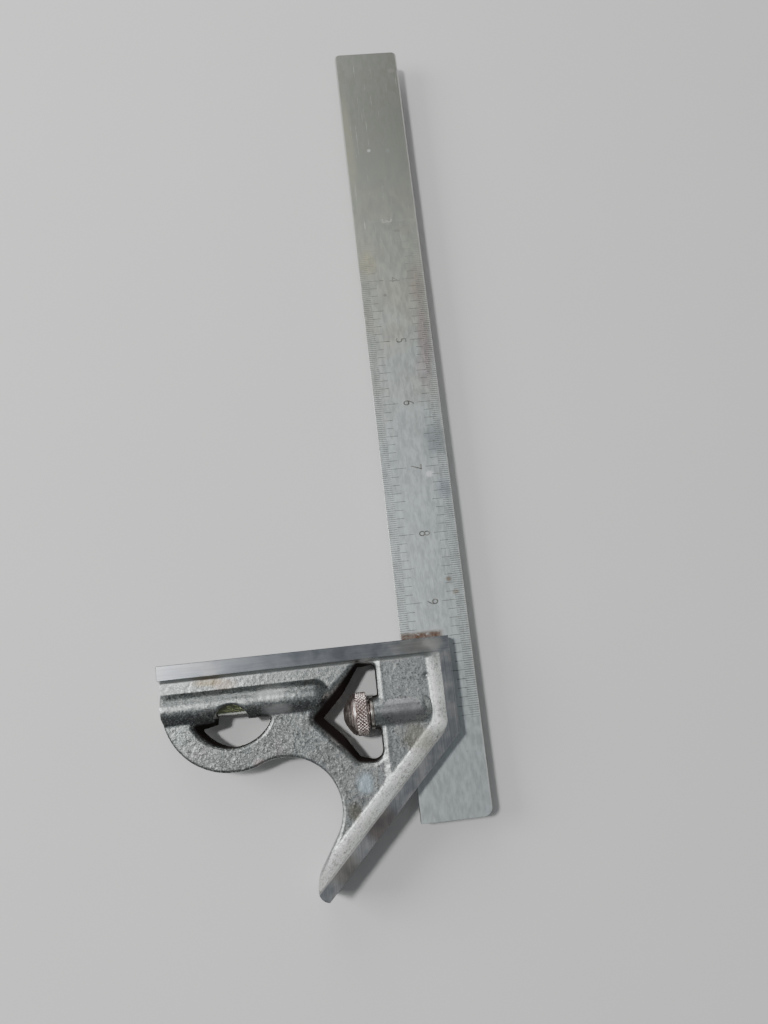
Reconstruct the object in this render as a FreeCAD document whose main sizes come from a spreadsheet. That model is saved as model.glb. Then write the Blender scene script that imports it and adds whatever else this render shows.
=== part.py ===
import FreeCAD, Part

import math
import os

import Sketcher

# Combination square: a cast head with a square face and a mitre face, a grooved steel
# blade that slides through it, a hook bolt with a knurled nut that clamps the blade,
# and a spirit level bedded in the head.
#
# Drawing frame of every sketch: x is measured across the blade from its centre line,
# y along the blade from its lower end, z up from the face that the head lies on.
# The placements then carry the whole square so that its origin is at the centre of
# its bounding box, on the face it lies on.

SIZES = {
    # Blade
    "blade_length": 304.8,
    "blade_width": 25.4,
    "blade_thickness": 2.4,
    "blade_corner": 2.0,
    "blade_worn_corner": 3.2,
    "blade_groove_width": 3.2,
    "blade_groove_depth": 0.6,
    "blade_gap": 0.05,
    # Head outline
    "stock_margin": 3.0,
    "head_thickness": 19.0,
    "head_left": -98.5,
    "head_right": 3.6,
    "square_face": 63.2,
    "mitre_corner": 29.8,
    "lobe_x": -74.7,
    "lobe_y": 48.6,
    "lobe_radius": 24.1,
    "throat_x": -58.1,
    "throat_y": 8.9,
    "arm_slope_deg": 58.0,
    "tip_side_radius": 9.0,
    "tip_radius": 4.0,
    "tip_x": -45.7,
    "tip_y": -16.0,
    # Rims and web
    "square_rim": 5.0,
    "side_rim": 3.7,
    "mitre_rim": 4.6,
    "web_thickness": 7.5,
    "cove_radius": 4.0,
    "rim_corner": 4.5,
    "rim_elbow": 5.0,
    "block_left": -22.0,
    "block_rise": 0.8,
    # Windows
    "sight_window_radius": 15.9,
    "sight_window_top": 42.6,
    "sight_window_corner": 1.5,
    "finger_apex_x": -48.5,
    "finger_apex_y": 39.6,
    "finger_top_x": -29.8,
    "finger_top_y": 58.0,
    "finger_right": -22.9,
    "finger_corner_y": 56.2,
    "finger_foot_y": 22.4,
    "finger_foot_x": -32.2,
    "finger_apex_round": 3.0,
    "finger_top_round": 2.0,
    "finger_foot_round": 4.3,
    # Level
    "vial_y": 48.0,
    "vial_boss_radius": 6.2,
    "vial_boss_end": -39.2,
    "vial_bore_radius": 4.5,
    "vial_bore_end": -53.5,
    "vial_radius": 4.0,
    "vial_inner_radius": 3.1,
    "vial_left": -93.5,
    "vial_right": -55.5,
    "vial_end_wall": 1.2,
    "stopper_length": 2.5,
    "plug_length": 3.6,
    "plug_inset": 0.4,
    "bubble_half_length": 5.0,
    "bubble_half_width": 2.3,
    "bubble_half_depth": 1.4,
    "notch_y": 41.5,
    "notch_radius": 6.2,
    # Clamp
    "clamp_y": 39.4,
    "clamp_boss_radius": 5.8,
    "clamp_boss_left": -24.9,
    "clamp_boss_right": -1.0,
    "clamp_bore_radius": 3.55,
    "clamp_bore_left": -22.4,
    "shank_hole_radius": 2.65,
    "bolt_radius": 3.5,
    "bolt_right": 2.2,
    "bolt_flat_left": -13.7,
    "bolt_shoulder": -17.0,
    "shank_radius": 2.45,
    "shank_left": -33.8,
    "nib_width": 1.9,
    "nib_span": 3.0,
    "nib_gap": 0.03,
    "nib_height": 0.45,
    "bolt_chamfer": 0.4,
    "nut_hole_radius": 2.5,
    "nut_hole_left": -34.6,
    "nut_left": -36.5,
    "nut_nose_radius": 1.9,
    "nut_neck_left": -33.4,
    "nut_neck_radius": 6.9,
    "knurl_left": -32.8,
    "knurl_right": -27.6,
    "knurl_radius": 7.6,
    "nut_foot_radius": 4.6,
    "nut_gap": 0.03,
    "slot_end_gap": 0.02,
    "spring_end_gap": 0.01,
    "bedding_overhang": 0.5,
    "washer_radius": 5.6,
    "washer_bore": 2.6,
    "washer_thickness": 1.4,
    "spring_radius": 2.98,
    "spring_wire": 0.32,
    "spring_turns": 4.0,
    # Where the drawing frame's zero lies in the part's own frame
    "origin_x": 0.0,
    "origin_y": 0.0,
}

doc = FreeCAD.newDocument("combination_square")
sheet = doc.addObject("Spreadsheet::Sheet", "sheet")
for row, (alias, number) in enumerate(SIZES.items(), start=1):
    sheet.set(f"A{row}", alias)
    sheet.set(f"B{row}", str(number))
    sheet.setAlias(f"B{row}", alias)
doc.recompute()


class Size:
    """A number together with the sheet expression that gives it."""

    def __init__(self, value, text):
        self.value = value
        self.text = text

    def combine(self, sign, other, value):
        text = other.text if isinstance(other, Size) else repr(float(other))
        return Size(value, f"({self.text} {sign} {text})")

    def __add__(self, other):
        return self.combine("+", other, self.value + number_of(other))

    def __sub__(self, other):
        return self.combine("-", other, self.value - number_of(other))

    def __mul__(self, other):
        return self.combine("*", other, self.value * number_of(other))

    def __truediv__(self, other):
        return self.combine("/", other, self.value / number_of(other))

    def __neg__(self):
        return self * -1


def number_of(size):
    return size.value if isinstance(size, Size) else float(size)


def cell(alias):
    """The size held by the sheet cell of that alias."""
    return Size(float(sheet.get(alias)), f"sheet.{alias}")


def bind(thing, path, size):
    """Ties one property of a document object to the sheet."""
    thing.setExpression(path, size.text if isinstance(size, Size) else str(size))


ZERO = Size(0.0, "0")
MIDDLE = cell("head_thickness") / 2
HALF_WEB = cell("web_thickness") / 2
WEB_TOP = MIDDLE + HALF_WEB
WEB_BOTTOM = MIDDLE - HALF_WEB
HALF_BLADE = cell("blade_thickness") / 2
FACING = cell("square_face")
ROOT_TWO = math.sqrt(2)

# Cutters reach this far past the metal they cut, and pads this far into their neighbours.
OVERCUT = 1.0
BLOCK_OVERLAP = 0.5
NIB_OVERLAP = 0.2
RECESS_PAST_END = 10.0
RECESS_PAST_TIP = 15.0
# Edges are found within these distances of the place where they should be.
SAME_PLACE = 1e-6
SHORTEST_EDGE = 1e-3
UPRIGHT_SEARCH = 0.3
RIM_FOOT_SEARCH = 1.0
# First guesses for the head's outline, before its constraints are solved.
ARM_GUESS = 12.0
FACE_END_GUESS = 0.5
LOBE_START_GUESS = 3.7
# The nut's dome is drawn as this many short cones.
DOME_STEPS = 6
FULL_TURN = 360.0
ORIGIN_DIGITS = 3


# ---------------------------------------------------------------- sketches and features


def new_body(label):
    body = doc.addObject("PartDesign::Body", label)
    body.Label = label
    bind(body, "Placement.Base.x", cell("origin_x"))
    bind(body, "Placement.Base.y", cell("origin_y"))
    return body


def new_sketch(body, name, rise=ZERO, shift=ZERO, role="XY_Plane"):
    """A sketch on one of the body's origin planes, raised by rise and moved up by shift."""
    plane = next(item for item in body.Origin.OriginFeatures if item.Role == role)
    sketch = body.newObject("Sketcher::SketchObject", name)
    sketch.AttachmentSupport = [(plane, "")]
    sketch.MapMode = "FlatFace"
    bind(sketch, "AttachmentOffset.Base.z", rise)
    bind(sketch, "AttachmentOffset.Base.y", shift)
    return sketch


def dimension(sketch, kind, size, *where):
    """One driving dimension, tied to the sheet. Signed when it is a DistanceX or DistanceY."""
    index = sketch.addConstraint(Sketcher.Constraint(kind, *where, number_of(size)))
    bind(sketch, f"Constraints[{index}]", size)


def pin_point(sketch, geometry, end, x, y):
    """Holds a sketch point at the place (x, y) from the sketch's origin."""
    dimension(sketch, "DistanceX", x, -1, 1, geometry, end)
    dimension(sketch, "DistanceY", y, -1, 1, geometry, end)


def draw_polygon(sketch, corners):
    """A closed outline of straight lines, every corner tied to the sheet."""
    places = [FreeCAD.Vector(number_of(x), number_of(y), 0) for x, y in corners]
    sides = []
    for start, end in zip(places, places[1:] + places[:1]):
        sides.append(sketch.addGeometry(Part.LineSegment(start, end), False))
    for side, following in zip(sides, sides[1:] + sides[:1]):
        sketch.addConstraint(Sketcher.Constraint("Coincident", side, 2, following, 1))
    for side, (x, y) in zip(sides, corners):
        pin_point(sketch, side, 1, x, y)


def draw_circle(sketch, x, y, radius):
    centre = FreeCAD.Vector(number_of(x), number_of(y), 0)
    normal = FreeCAD.Vector(0, 0, 1)
    index = sketch.addGeometry(Part.Circle(centre, normal, number_of(radius)), False)
    pin_point(sketch, index, 3, x, y)
    dimension(sketch, "Radius", radius, index)


def volume_of(feature):
    return feature.Shape.Volume if not feature.Shape.isNull() else 0.0


def add_feature(body, kind, name, **settings):
    """A feature on the body's tip, with the change of volume that its kind calls for."""
    before = volume_of(body)
    feature = body.newObject(kind, name)
    for key, value in settings.items():
        if isinstance(value, Size):
            bind(feature, key, value)
        else:
            setattr(feature, key, value)
    doc.recompute()
    change = volume_of(feature) - before
    cuts = kind.endswith(("Pocket", "Groove", "Chamfer")) or "Subtractive" in kind
    grows = kind.endswith(("Pad", "Revolution", "Helix"))
    if (cuts and change >= 0) or (grows and change <= 0):
        raise RuntimeError(f"{body.Label}.{name} changed the volume by {change:.3f}")
    return feature


def pad(body, sketch, length):
    name = f"{sketch.Name}_pad"
    return add_feature(body, "PartDesign::Pad", name, Profile=sketch, Length=length)


def pocket(body, sketch, depth=None, upward=False):
    """Cuts down from the sketch, or up from it, to a depth, or through the whole body."""
    settings = {"Profile": sketch, "Reversed": upward}
    if depth is None:
        settings.update(Type="ThroughAll")
    else:
        settings.update(Length=depth)
    return add_feature(body, "PartDesign::Pocket", f"{sketch.Name}_cut", **settings)


def turn(body, sketch, cutting=False):
    """A solid or a cut made by turning the sketch about its own x axis."""
    kind = "PartDesign::Groove" if cutting else "PartDesign::Revolution"
    axis = (sketch, ["H_Axis"])
    name = f"{sketch.Name}_turned"
    return add_feature(body, kind, name, Profile=sketch, ReferenceAxis=axis, Angle=FULL_TURN)


def turned_part(label, axis_y, profile):
    """A body turned about a line parallel to x at half the head's thickness."""
    body = new_body(label)
    sketch = new_sketch(body, f"{label}_profile", MIDDLE, axis_y)
    draw_polygon(sketch, profile)
    turn(body, sketch)
    return body


def edges_where(feature, test):
    names = []
    for index, edge in enumerate(feature.Shape.Edges, start=1):
        if test(edge):
            names.append(f"Edge{index}")
    if not names:
        raise RuntimeError(f"no edge to round on {feature.Label}")
    return names


def round_edges(body, name, radius, test):
    base = body.Tip
    names = edges_where(base, test)
    return add_feature(body, "PartDesign::Fillet", name, Base=(base, names), Radius=radius)


def is_upright_at(x, y):
    """Picks the edges parallel to z that stand at the place (x, y)."""

    def test(edge):
        first, last = edge.Vertexes[0].Point, edge.Vertexes[-1].Point
        apart = math.hypot(first.x - last.x, first.y - last.y)
        off = math.hypot(first.x - number_of(x), first.y - number_of(y))
        return apart < SAME_PLACE and abs(first.z - last.z) > SHORTEST_EDGE and off < UPRIGHT_SEARCH

    return test


def is_level(edge, height):
    return all(abs(vertex.Z - number_of(height)) < SAME_PLACE for vertex in edge.Vertexes)


# ------------------------------------------------------------------------ head casting


def draw_head_outline(sketch):
    """Square face, blade side, mitre face, blunt tip, arm, throat, lobe and left end."""
    left, right = cell("head_left"), cell("head_right")
    corner_y = cell("mitre_corner")
    lobe = FreeCAD.Vector(number_of(cell("lobe_x")), number_of(cell("lobe_y")), 0)
    throat = FreeCAD.Vector(number_of(cell("throat_x")), number_of(cell("throat_y")), 0)
    lobe_radius = number_of(cell("lobe_radius"))
    throat_radius = throat.distanceToPoint(lobe) - lobe_radius
    tip = FreeCAD.Vector(number_of(cell("tip_x")), number_of(cell("tip_y")), 0)
    tip_radius = number_of(cell("tip_radius"))
    side_radius = number_of(cell("tip_side_radius"))
    slope = math.radians(number_of(cell("arm_slope_deg")))

    # First places of the points where the lines and arcs meet; the constraints settle them.
    outward = FreeCAD.Vector(math.sin(slope), -math.cos(slope), 0)
    along = FreeCAD.Vector(-math.cos(slope), -math.sin(slope), 0)
    arm_start = throat + outward * throat_radius
    arm_end = arm_start + along * ARM_GUESS
    side_centre = arm_end + outward * side_radius
    side_end = FreeCAD.Vector(tip.x - tip_radius, tip.y, 0)
    face_end = FreeCAD.Vector(tip.x - FACE_END_GUESS, tip.y - tip_radius, 0)
    lobe_start = FreeCAD.Vector(number_of(left), lobe.y - LOBE_START_GUESS, 0)
    joint = lobe + (throat - lobe) * (lobe_radius / lobe.distanceToPoint(throat))
    top_left = FreeCAD.Vector(number_of(left), number_of(FACING), 0)
    top_right = FreeCAD.Vector(number_of(right), number_of(FACING), 0)
    corner = FreeCAD.Vector(number_of(right), number_of(corner_y), 0)

    def arc(centre, radius, start, end):
        """The arc from start to end, anticlockwise."""
        circle = Part.Circle(centre, FreeCAD.Vector(0, 0, 1), radius)
        return Part.ArcOfCircle(circle, circle.parameter(start), circle.parameter(end))

    top = sketch.addGeometry(Part.LineSegment(top_left, top_right), False)
    side = sketch.addGeometry(Part.LineSegment(top_right, corner), False)
    mitre = sketch.addGeometry(Part.LineSegment(corner, face_end), False)
    blunt = sketch.addGeometry(arc(tip, tip_radius, side_end, face_end), False)
    flank = sketch.addGeometry(arc(side_centre, side_radius, arm_end, side_end), False)
    arm = sketch.addGeometry(Part.LineSegment(arm_end, arm_start), False)
    hollow = sketch.addGeometry(arc(throat, throat_radius, arm_start, joint), False)
    bulge = sketch.addGeometry(arc(lobe, lobe_radius, lobe_start, joint), False)
    end = sketch.addGeometry(Part.LineSegment(lobe_start, top_left), False)

    constraints = [
        Sketcher.Constraint("Horizontal", top),
        Sketcher.Constraint("Vertical", side),
        Sketcher.Constraint("Vertical", end),
        Sketcher.Constraint("Coincident", top, 2, side, 1),
        Sketcher.Constraint("Coincident", side, 2, mitre, 1),
        Sketcher.Constraint("Coincident", mitre, 2, blunt, 2),
        Sketcher.Constraint("Tangent", blunt, 1, flank, 2),
        Sketcher.Constraint("Tangent", flank, 1, arm, 1),
        Sketcher.Constraint("Tangent", arm, 2, hollow, 1),
        Sketcher.Constraint("Tangent", hollow, 2, bulge, 2),
        Sketcher.Constraint("Coincident", bulge, 1, end, 1),
        Sketcher.Constraint("Coincident", end, 2, top, 1),
    ]
    for constraint in constraints:
        sketch.addConstraint(constraint)
    pin_point(sketch, top, 1, left, FACING)
    pin_point(sketch, side, 2, right, corner_y)
    pin_point(sketch, bulge, 3, cell("lobe_x"), cell("lobe_y"))
    pin_point(sketch, hollow, 3, cell("throat_x"), cell("throat_y"))
    pin_point(sketch, blunt, 3, cell("tip_x"), cell("tip_y"))
    dimension(sketch, "Radius", cell("lobe_radius"), bulge)
    dimension(sketch, "Radius", cell("tip_radius"), blunt)
    dimension(sketch, "Radius", cell("tip_side_radius"), flank)
    tilt = sketch.addConstraint(Sketcher.Constraint("Angle", -1, 1, mitre, 2, math.pi / 4))
    sketch.renameConstraint(tilt, "mitre_angle")


def stock_corners(margin):
    """A rectangle that stands clear of the head's outline by the margin."""
    left, right = cell("head_left") - margin, cell("head_right") + margin
    low, high = cell("tip_y") - cell("tip_radius") - margin, FACING + margin
    return [(left, low), (right, low), (right, high), (left, high)]


def recess_corners():
    """The outline of the web inside the rims, open past the left end and the tip."""
    rim_y = FACING - cell("square_rim")
    rim_x = cell("head_right") - cell("side_rim")
    mitre_line = cell("mitre_corner") - cell("head_right") + cell("mitre_rim") * ROOT_TWO
    far_left = cell("head_left") - RECESS_PAST_END
    low_x = cell("tip_x") - RECESS_PAST_TIP
    low_y = low_x + mitre_line
    elbow_y = rim_x + mitre_line
    return [(far_left, rim_y), (rim_x, rim_y), (rim_x, elbow_y), (low_x, low_y), (far_left, low_y)]


def make_head_casting():
    body = new_body("head_casting")
    # The block that the head is cut from, a little larger than its outline.
    stock = new_sketch(body, "head_stock")
    draw_polygon(stock, stock_corners(cell("stock_margin")))
    pad(body, stock, cell("head_thickness"))

    # The web stands back from both faces inside the rims.
    corners = recess_corners()
    recess_depth = cell("head_thickness") / 2 - HALF_WEB
    for name, rise, upward in (("front", cell("head_thickness"), False), ("back", ZERO, True)):
        recess = new_sketch(body, f"{name}_recess", rise)
        draw_polygon(recess, corners)
        pocket(body, recess, recess_depth, upward)
    round_edges(body, "rim_corner_round", cell("rim_corner"), is_upright_at(*corners[1]))
    round_edges(body, "rim_elbow_round", cell("rim_elbow"), is_upright_at(*corners[2]))

    # Coves where the rims rise from the web.
    rim_line = corners[2][1].value - corners[2][0].value

    def is_rim_foot(edge):
        if not (is_level(edge, WEB_TOP) or is_level(edge, WEB_BOTTOM)):
            return False
        middle = edge.valueAt((edge.FirstParameter + edge.LastParameter) / 2)
        beside_mitre = abs(middle.y - middle.x - rim_line) < RIM_FOOT_SEARCH
        under_square = abs(middle.y - corners[0][1].value) < RIM_FOOT_SEARCH
        beside_blade = middle.x > corners[1][0].value - RIM_FOOT_SEARCH
        return beside_mitre or under_square or beside_blade

    round_edges(body, "rim_cove", cell("cove_radius"), is_rim_foot)

    # Everything outside the head's outline goes.
    outline = new_sketch(body, "head_outline", cell("head_thickness"))
    draw_head_outline(outline)
    draw_polygon(outline, stock_corners(cell("stock_margin") * 2))
    pocket(body, outline)

    # A slightly thicker block carries the blade slot.
    rim_x, elbow_y = corners[2]
    block = new_sketch(body, "slot_block", WEB_BOTTOM - cell("block_rise"))
    block_foot = cell("block_left") + (elbow_y - rim_x)
    draw_polygon(
        block,
        [
            (cell("block_left"), FACING - cell("square_rim") + BLOCK_OVERLAP),
            (rim_x + BLOCK_OVERLAP, FACING - cell("square_rim") + BLOCK_OVERLAP),
            (rim_x + BLOCK_OVERLAP, elbow_y),
            (cell("block_left"), block_foot - BLOCK_OVERLAP),
        ],
    )
    pad(body, block, cell("web_thickness") + cell("block_rise") * 2)

    # Level boss: a half-round ridge with a domed inner end.
    boss = new_sketch(body, "vial_boss", MIDDLE, cell("vial_y"))
    boss_end, boss_radius = cell("vial_boss_end"), cell("vial_boss_radius")
    dome_start = boss_end - boss_radius
    draw_domed_bar(boss, cell("head_left"), dome_start, boss_radius)
    turn(body, boss)

    # Finger window round the nut, and sight window under the level.
    window = new_sketch(body, "finger_window", cell("head_thickness"))
    apex = (cell("finger_apex_x"), cell("finger_apex_y"))
    top = (cell("finger_top_x"), cell("finger_top_y"))
    shoulder = (cell("finger_right"), cell("finger_corner_y"))
    heel = (cell("finger_right"), cell("finger_foot_y"))
    foot = (cell("finger_foot_x"), cell("finger_foot_y"))
    draw_polygon(window, [apex, top, shoulder, heel, foot])
    pocket(body, window)
    round_edges(body, "finger_apex_edge", cell("finger_apex_round"), is_upright_at(*apex))
    for name, place in (("finger_top", top), ("finger_shoulder", shoulder)):
        round_edges(body, f"{name}_edge", cell("finger_top_round"), is_upright_at(*place))
    for name, place in (("finger_heel", heel), ("finger_foot", foot)):
        round_edges(body, f"{name}_edge", cell("finger_foot_round"), is_upright_at(*place))

    sight = new_sketch(body, "sight_window", cell("head_thickness"))
    reach = draw_segment(sight)
    pocket(body, sight)
    for name, side in (("left", -reach), ("right", reach)):
        place = (cell("lobe_x").value + side, cell("sight_window_top"))
        round_edges(body, f"sight_{name}_edge", cell("sight_window_corner"), is_upright_at(*place))

    # Clamp boss, reaching a little into the finger window.
    clamp_boss = new_sketch(body, "clamp_boss", MIDDLE, cell("clamp_y"))
    radius = cell("clamp_boss_radius")
    boss_left, boss_right = cell("clamp_boss_left"), cell("clamp_boss_right")
    draw_polygon(
        clamp_boss,
        [(boss_left, ZERO), (boss_left, radius), (boss_right, radius), (boss_right, ZERO)],
    )
    turn(body, clamp_boss)

    # Blade slot, open at the right-hand side.
    slot = new_sketch(body, "blade_slot", MIDDLE - HALF_BLADE - cell("blade_gap"))
    slot_left = -(cell("blade_width") / 2) - cell("slot_end_gap")
    slot_right = cell("head_right") + OVERCUT
    low, high = ZERO, FACING + OVERCUT
    draw_polygon(
        slot,
        [(slot_left, low), (slot_right, low), (slot_right, high), (slot_left, high)],
    )
    pocket(body, slot, cell("blade_thickness") + cell("blade_gap") * 2, upward=True)

    # Clamp bore from the blade side, with a smaller hole for the bolt's shank.
    bore = new_sketch(body, "clamp_bore", MIDDLE, cell("clamp_y"))
    bore_left, bore_radius = cell("clamp_bore_left"), cell("clamp_bore_radius")
    outside = cell("head_right") + OVERCUT
    inside = cell("clamp_boss_left") - OVERCUT
    hole = cell("shank_hole_radius")
    draw_polygon(
        bore,
        [
            (inside, ZERO),
            (inside, hole),
            (bore_left, hole),
            (bore_left, bore_radius),
            (outside, bore_radius),
            (outside, ZERO),
        ],
    )
    turn(body, bore, cutting=True)

    # Vial bore from the left end, and the notch that shows the vial.
    vial_bore = new_sketch(body, "vial_bore", MIDDLE, cell("vial_y"))
    start, stop = cell("head_left") - OVERCUT, cell("vial_bore_end")
    vial_radius = cell("vial_bore_radius")
    draw_polygon(
        vial_bore,
        [(start, ZERO), (start, vial_radius), (stop, vial_radius), (stop, ZERO)],
    )
    turn(body, vial_bore, cutting=True)
    cut_notch(body)
    return body


def draw_domed_bar(sketch, left, dome_start, radius):
    """Half the outline of a round bar with a hemispherical right end."""
    axis_left = FreeCAD.Vector(left.value, 0, 0)
    top_left = FreeCAD.Vector(left.value, radius.value, 0)
    top_right = FreeCAD.Vector(dome_start.value, radius.value, 0)
    nose = FreeCAD.Vector(dome_start.value + radius.value, 0, 0)
    centre = FreeCAD.Vector(dome_start.value, 0, 0)
    circle = Part.Circle(centre, FreeCAD.Vector(0, 0, 1), radius.value)
    sketch.addGeometry(Part.LineSegment(axis_left, top_left), False)
    sketch.addGeometry(Part.LineSegment(top_left, top_right), False)
    sketch.addGeometry(Part.ArcOfCircle(circle, 0, math.pi / 2), False)
    sketch.addGeometry(Part.LineSegment(nose, axis_left), False)
    for constraint in (
        Sketcher.Constraint("Coincident", 0, 2, 1, 1),
        Sketcher.Constraint("Tangent", 1, 2, 2, 2),
        Sketcher.Constraint("Coincident", 2, 1, 3, 1),
        Sketcher.Constraint("Coincident", 3, 2, 0, 1),
        Sketcher.Constraint("Horizontal", 1),
        Sketcher.Constraint("Horizontal", 3),
    ):
        sketch.addConstraint(constraint)
    pin_point(sketch, 0, 1, left, ZERO)
    pin_point(sketch, 0, 2, left, radius)
    dimension(sketch, "DistanceX", dome_start, -1, 1, 2, 3)


def draw_segment(sketch):
    """The sight window: the part of a circle about the lobe's centre below a level chord."""
    radius, top = cell("sight_window_radius"), cell("sight_window_top")
    centre_x, centre_y = cell("lobe_x"), cell("lobe_y")
    reach = math.sqrt(radius.value**2 - (centre_y.value - top.value) ** 2)
    centre = FreeCAD.Vector(centre_x.value, centre_y.value, 0)
    left = FreeCAD.Vector(centre_x.value - reach, top.value, 0)
    right = FreeCAD.Vector(centre_x.value + reach, top.value, 0)
    circle = Part.Circle(centre, FreeCAD.Vector(0, 0, 1), radius.value)
    ends = (circle.parameter(left), circle.parameter(right))
    bowl = sketch.addGeometry(Part.ArcOfCircle(circle, *ends), False)
    chord = sketch.addGeometry(Part.LineSegment(right, left), False)
    sketch.addConstraint(Sketcher.Constraint("Coincident", bowl, 2, chord, 1))
    sketch.addConstraint(Sketcher.Constraint("Coincident", bowl, 1, chord, 2))
    sketch.addConstraint(Sketcher.Constraint("Horizontal", chord))
    pin_point(sketch, bowl, 3, centre_x, centre_y)
    dimension(sketch, "Radius", radius, bowl)
    dimension(sketch, "DistanceY", top, -1, 1, chord, 1)
    return reach


def cut_notch(body):
    """The round notch that bares the vial below its axis."""
    notch = new_sketch(body, f"{body.Label}_notch", cell("head_thickness"))
    draw_circle(notch, cell("lobe_x"), cell("notch_y"), cell("notch_radius"))
    pocket(body, notch)


# ------------------------------------------------------------------------------- blade


def make_blade():
    body = new_body("blade")
    half = cell("blade_width") / 2
    length = cell("blade_length")
    bottom = MIDDLE - HALF_BLADE
    outline = new_sketch(body, "blade_outline", bottom)
    draw_polygon(outline, [(-half, ZERO), (half, ZERO), (half, length), (-half, length)])
    pad(body, outline, cell("blade_thickness"))
    for name, place in (("top_left", (-half, length)), ("top_right", (half, length))):
        round_edges(body, f"{name}_corner", cell("blade_corner"), is_upright_at(*place))
    worn = is_upright_at(half, ZERO)
    round_edges(body, "bottom_right_corner", cell("blade_worn_corner"), worn)
    groove = new_sketch(body, "hook_groove", bottom)
    reach = cell("blade_groove_width") / 2
    low, high = ZERO - OVERCUT, length + OVERCUT
    draw_polygon(groove, [(-reach, low), (reach, low), (reach, high), (-reach, high)])
    pocket(body, groove, cell("blade_groove_depth"), upward=True)
    return body


# ------------------------------------------------------------------------------- clamp


def make_clamp_bolt():
    """The hook bolt: a round body cut to a flat tongue under the blade, with a nib."""
    shank, radius = cell("shank_radius"), cell("bolt_radius")
    left, right = cell("shank_left"), cell("bolt_right")
    shoulder, chamfer = cell("bolt_shoulder"), cell("bolt_chamfer")
    profile = [
        (left, ZERO),
        (left, shank - chamfer),
        (left + chamfer, shank),
        (shoulder, shank),
        (shoulder, radius),
        (right - chamfer, radius),
        (right, radius - chamfer),
        (right, ZERO),
    ]
    body = turned_part("clamp_bolt", cell("clamp_y"), profile)

    flat = MIDDLE - HALF_BLADE - cell("blade_gap")
    cut = new_sketch(body, "tongue_flat", flat)
    low, high = cell("clamp_y") - radius - OVERCUT, cell("clamp_y") + radius + OVERCUT
    start, stop = cell("bolt_flat_left"), right + OVERCUT
    draw_polygon(cut, [(start, low), (stop, low), (stop, high), (start, high)])
    pocket(body, cut, radius * 2 + OVERCUT, upward=True)

    nib = new_sketch(body, "hook_nib", flat - NIB_OVERLAP)
    nib_left = -(cell("blade_groove_width") / 2) + cell("nib_gap")
    nib_right = nib_left + cell("nib_width")
    reach = cell("nib_span") / 2
    low, high = cell("clamp_y") - reach, cell("clamp_y") + reach
    draw_polygon(nib, [(nib_left, low), (nib_right, low), (nib_right, high), (nib_left, high)])
    pad(body, nib, cell("blade_gap") + cell("nib_height") + NIB_OVERLAP)
    return body


def washer_face():
    """Where the nut meets the washer, along x."""
    return cell("clamp_boss_left") - cell("washer_thickness")


def make_clamp_nut():
    """The knurled nut: domed nose, knurled band and a smaller foot against the washer."""
    foot = washer_face() - cell("nut_gap")
    hole, hole_end = cell("nut_hole_radius"), cell("nut_hole_left")
    nose, neck = cell("nut_left"), cell("nut_neck_left")
    nose_radius, neck_radius = cell("nut_nose_radius"), cell("nut_neck_radius")
    profile = [(foot, hole), (hole_end, hole), (hole_end, ZERO), (nose, ZERO)]
    profile.append((nose, nose_radius))
    # The dome is a quarter of an ellipse between the nose and the neck.
    for step in range(1, DOME_STEPS):
        turned = math.pi / 2 * step / DOME_STEPS
        along = neck - (neck - nose) * math.cos(turned)
        away = nose_radius + (neck_radius - nose_radius) * math.sin(turned)
        profile.append((along, away))
    profile += [
        (neck, neck_radius),
        (cell("knurl_left"), neck_radius),
        (cell("knurl_left"), cell("knurl_radius")),
        (cell("knurl_right"), cell("knurl_radius")),
        (cell("knurl_right"), cell("nut_foot_radius")),
        (foot, cell("nut_foot_radius")),
    ]
    return turned_part("clamp_nut", cell("clamp_y"), profile)


def make_clamp_washer():
    left, right = washer_face(), cell("clamp_boss_left")
    inner, outer = cell("washer_bore"), cell("washer_radius")
    profile = [(left, inner), (left, outer), (right, outer), (right, inner)]
    return turned_part("clamp_washer", cell("clamp_y"), profile)


def make_clamp_spring():
    """The coil spring that pushes the bolt's shoulder away from the end of its bore."""
    body = new_body("clamp_spring")
    wire = cell("spring_wire")
    start = cell("clamp_bore_left") + wire + cell("spring_end_gap")
    span = cell("bolt_shoulder") - cell("clamp_bore_left") - wire * 2
    span = span - cell("spring_end_gap") * 2
    section = new_sketch(body, "spring_wire_section", MIDDLE, cell("clamp_y"))
    draw_circle(section, start, cell("spring_radius"), wire)
    add_feature(
        body,
        "PartDesign::AdditiveHelix",
        "spring_coil",
        Profile=section,
        ReferenceAxis=(section, ["H_Axis"]),
        Mode="height-turns-angle",
        Height=span,
        Turns=cell("spring_turns"),
    )
    return body


# ------------------------------------------------------------------------------- level


def make_vial_tube():
    """The glass tube, closed at its right end."""
    left, right = cell("vial_left"), cell("vial_right")
    inner, outer = cell("vial_inner_radius"), cell("vial_radius")
    floor = right - cell("vial_end_wall")
    profile = [(left, inner), (left, outer), (right, outer), (right, ZERO), (floor, ZERO), (floor, inner)]
    return turned_part("vial_tube", cell("vial_y"), profile)


def make_vial_stopper():
    left, radius = cell("vial_left"), cell("vial_inner_radius")
    right = left + cell("stopper_length")
    profile = [(left, ZERO), (left, radius), (right, radius), (right, ZERO)]
    return turned_part("vial_stopper", cell("vial_y"), profile)


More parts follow.
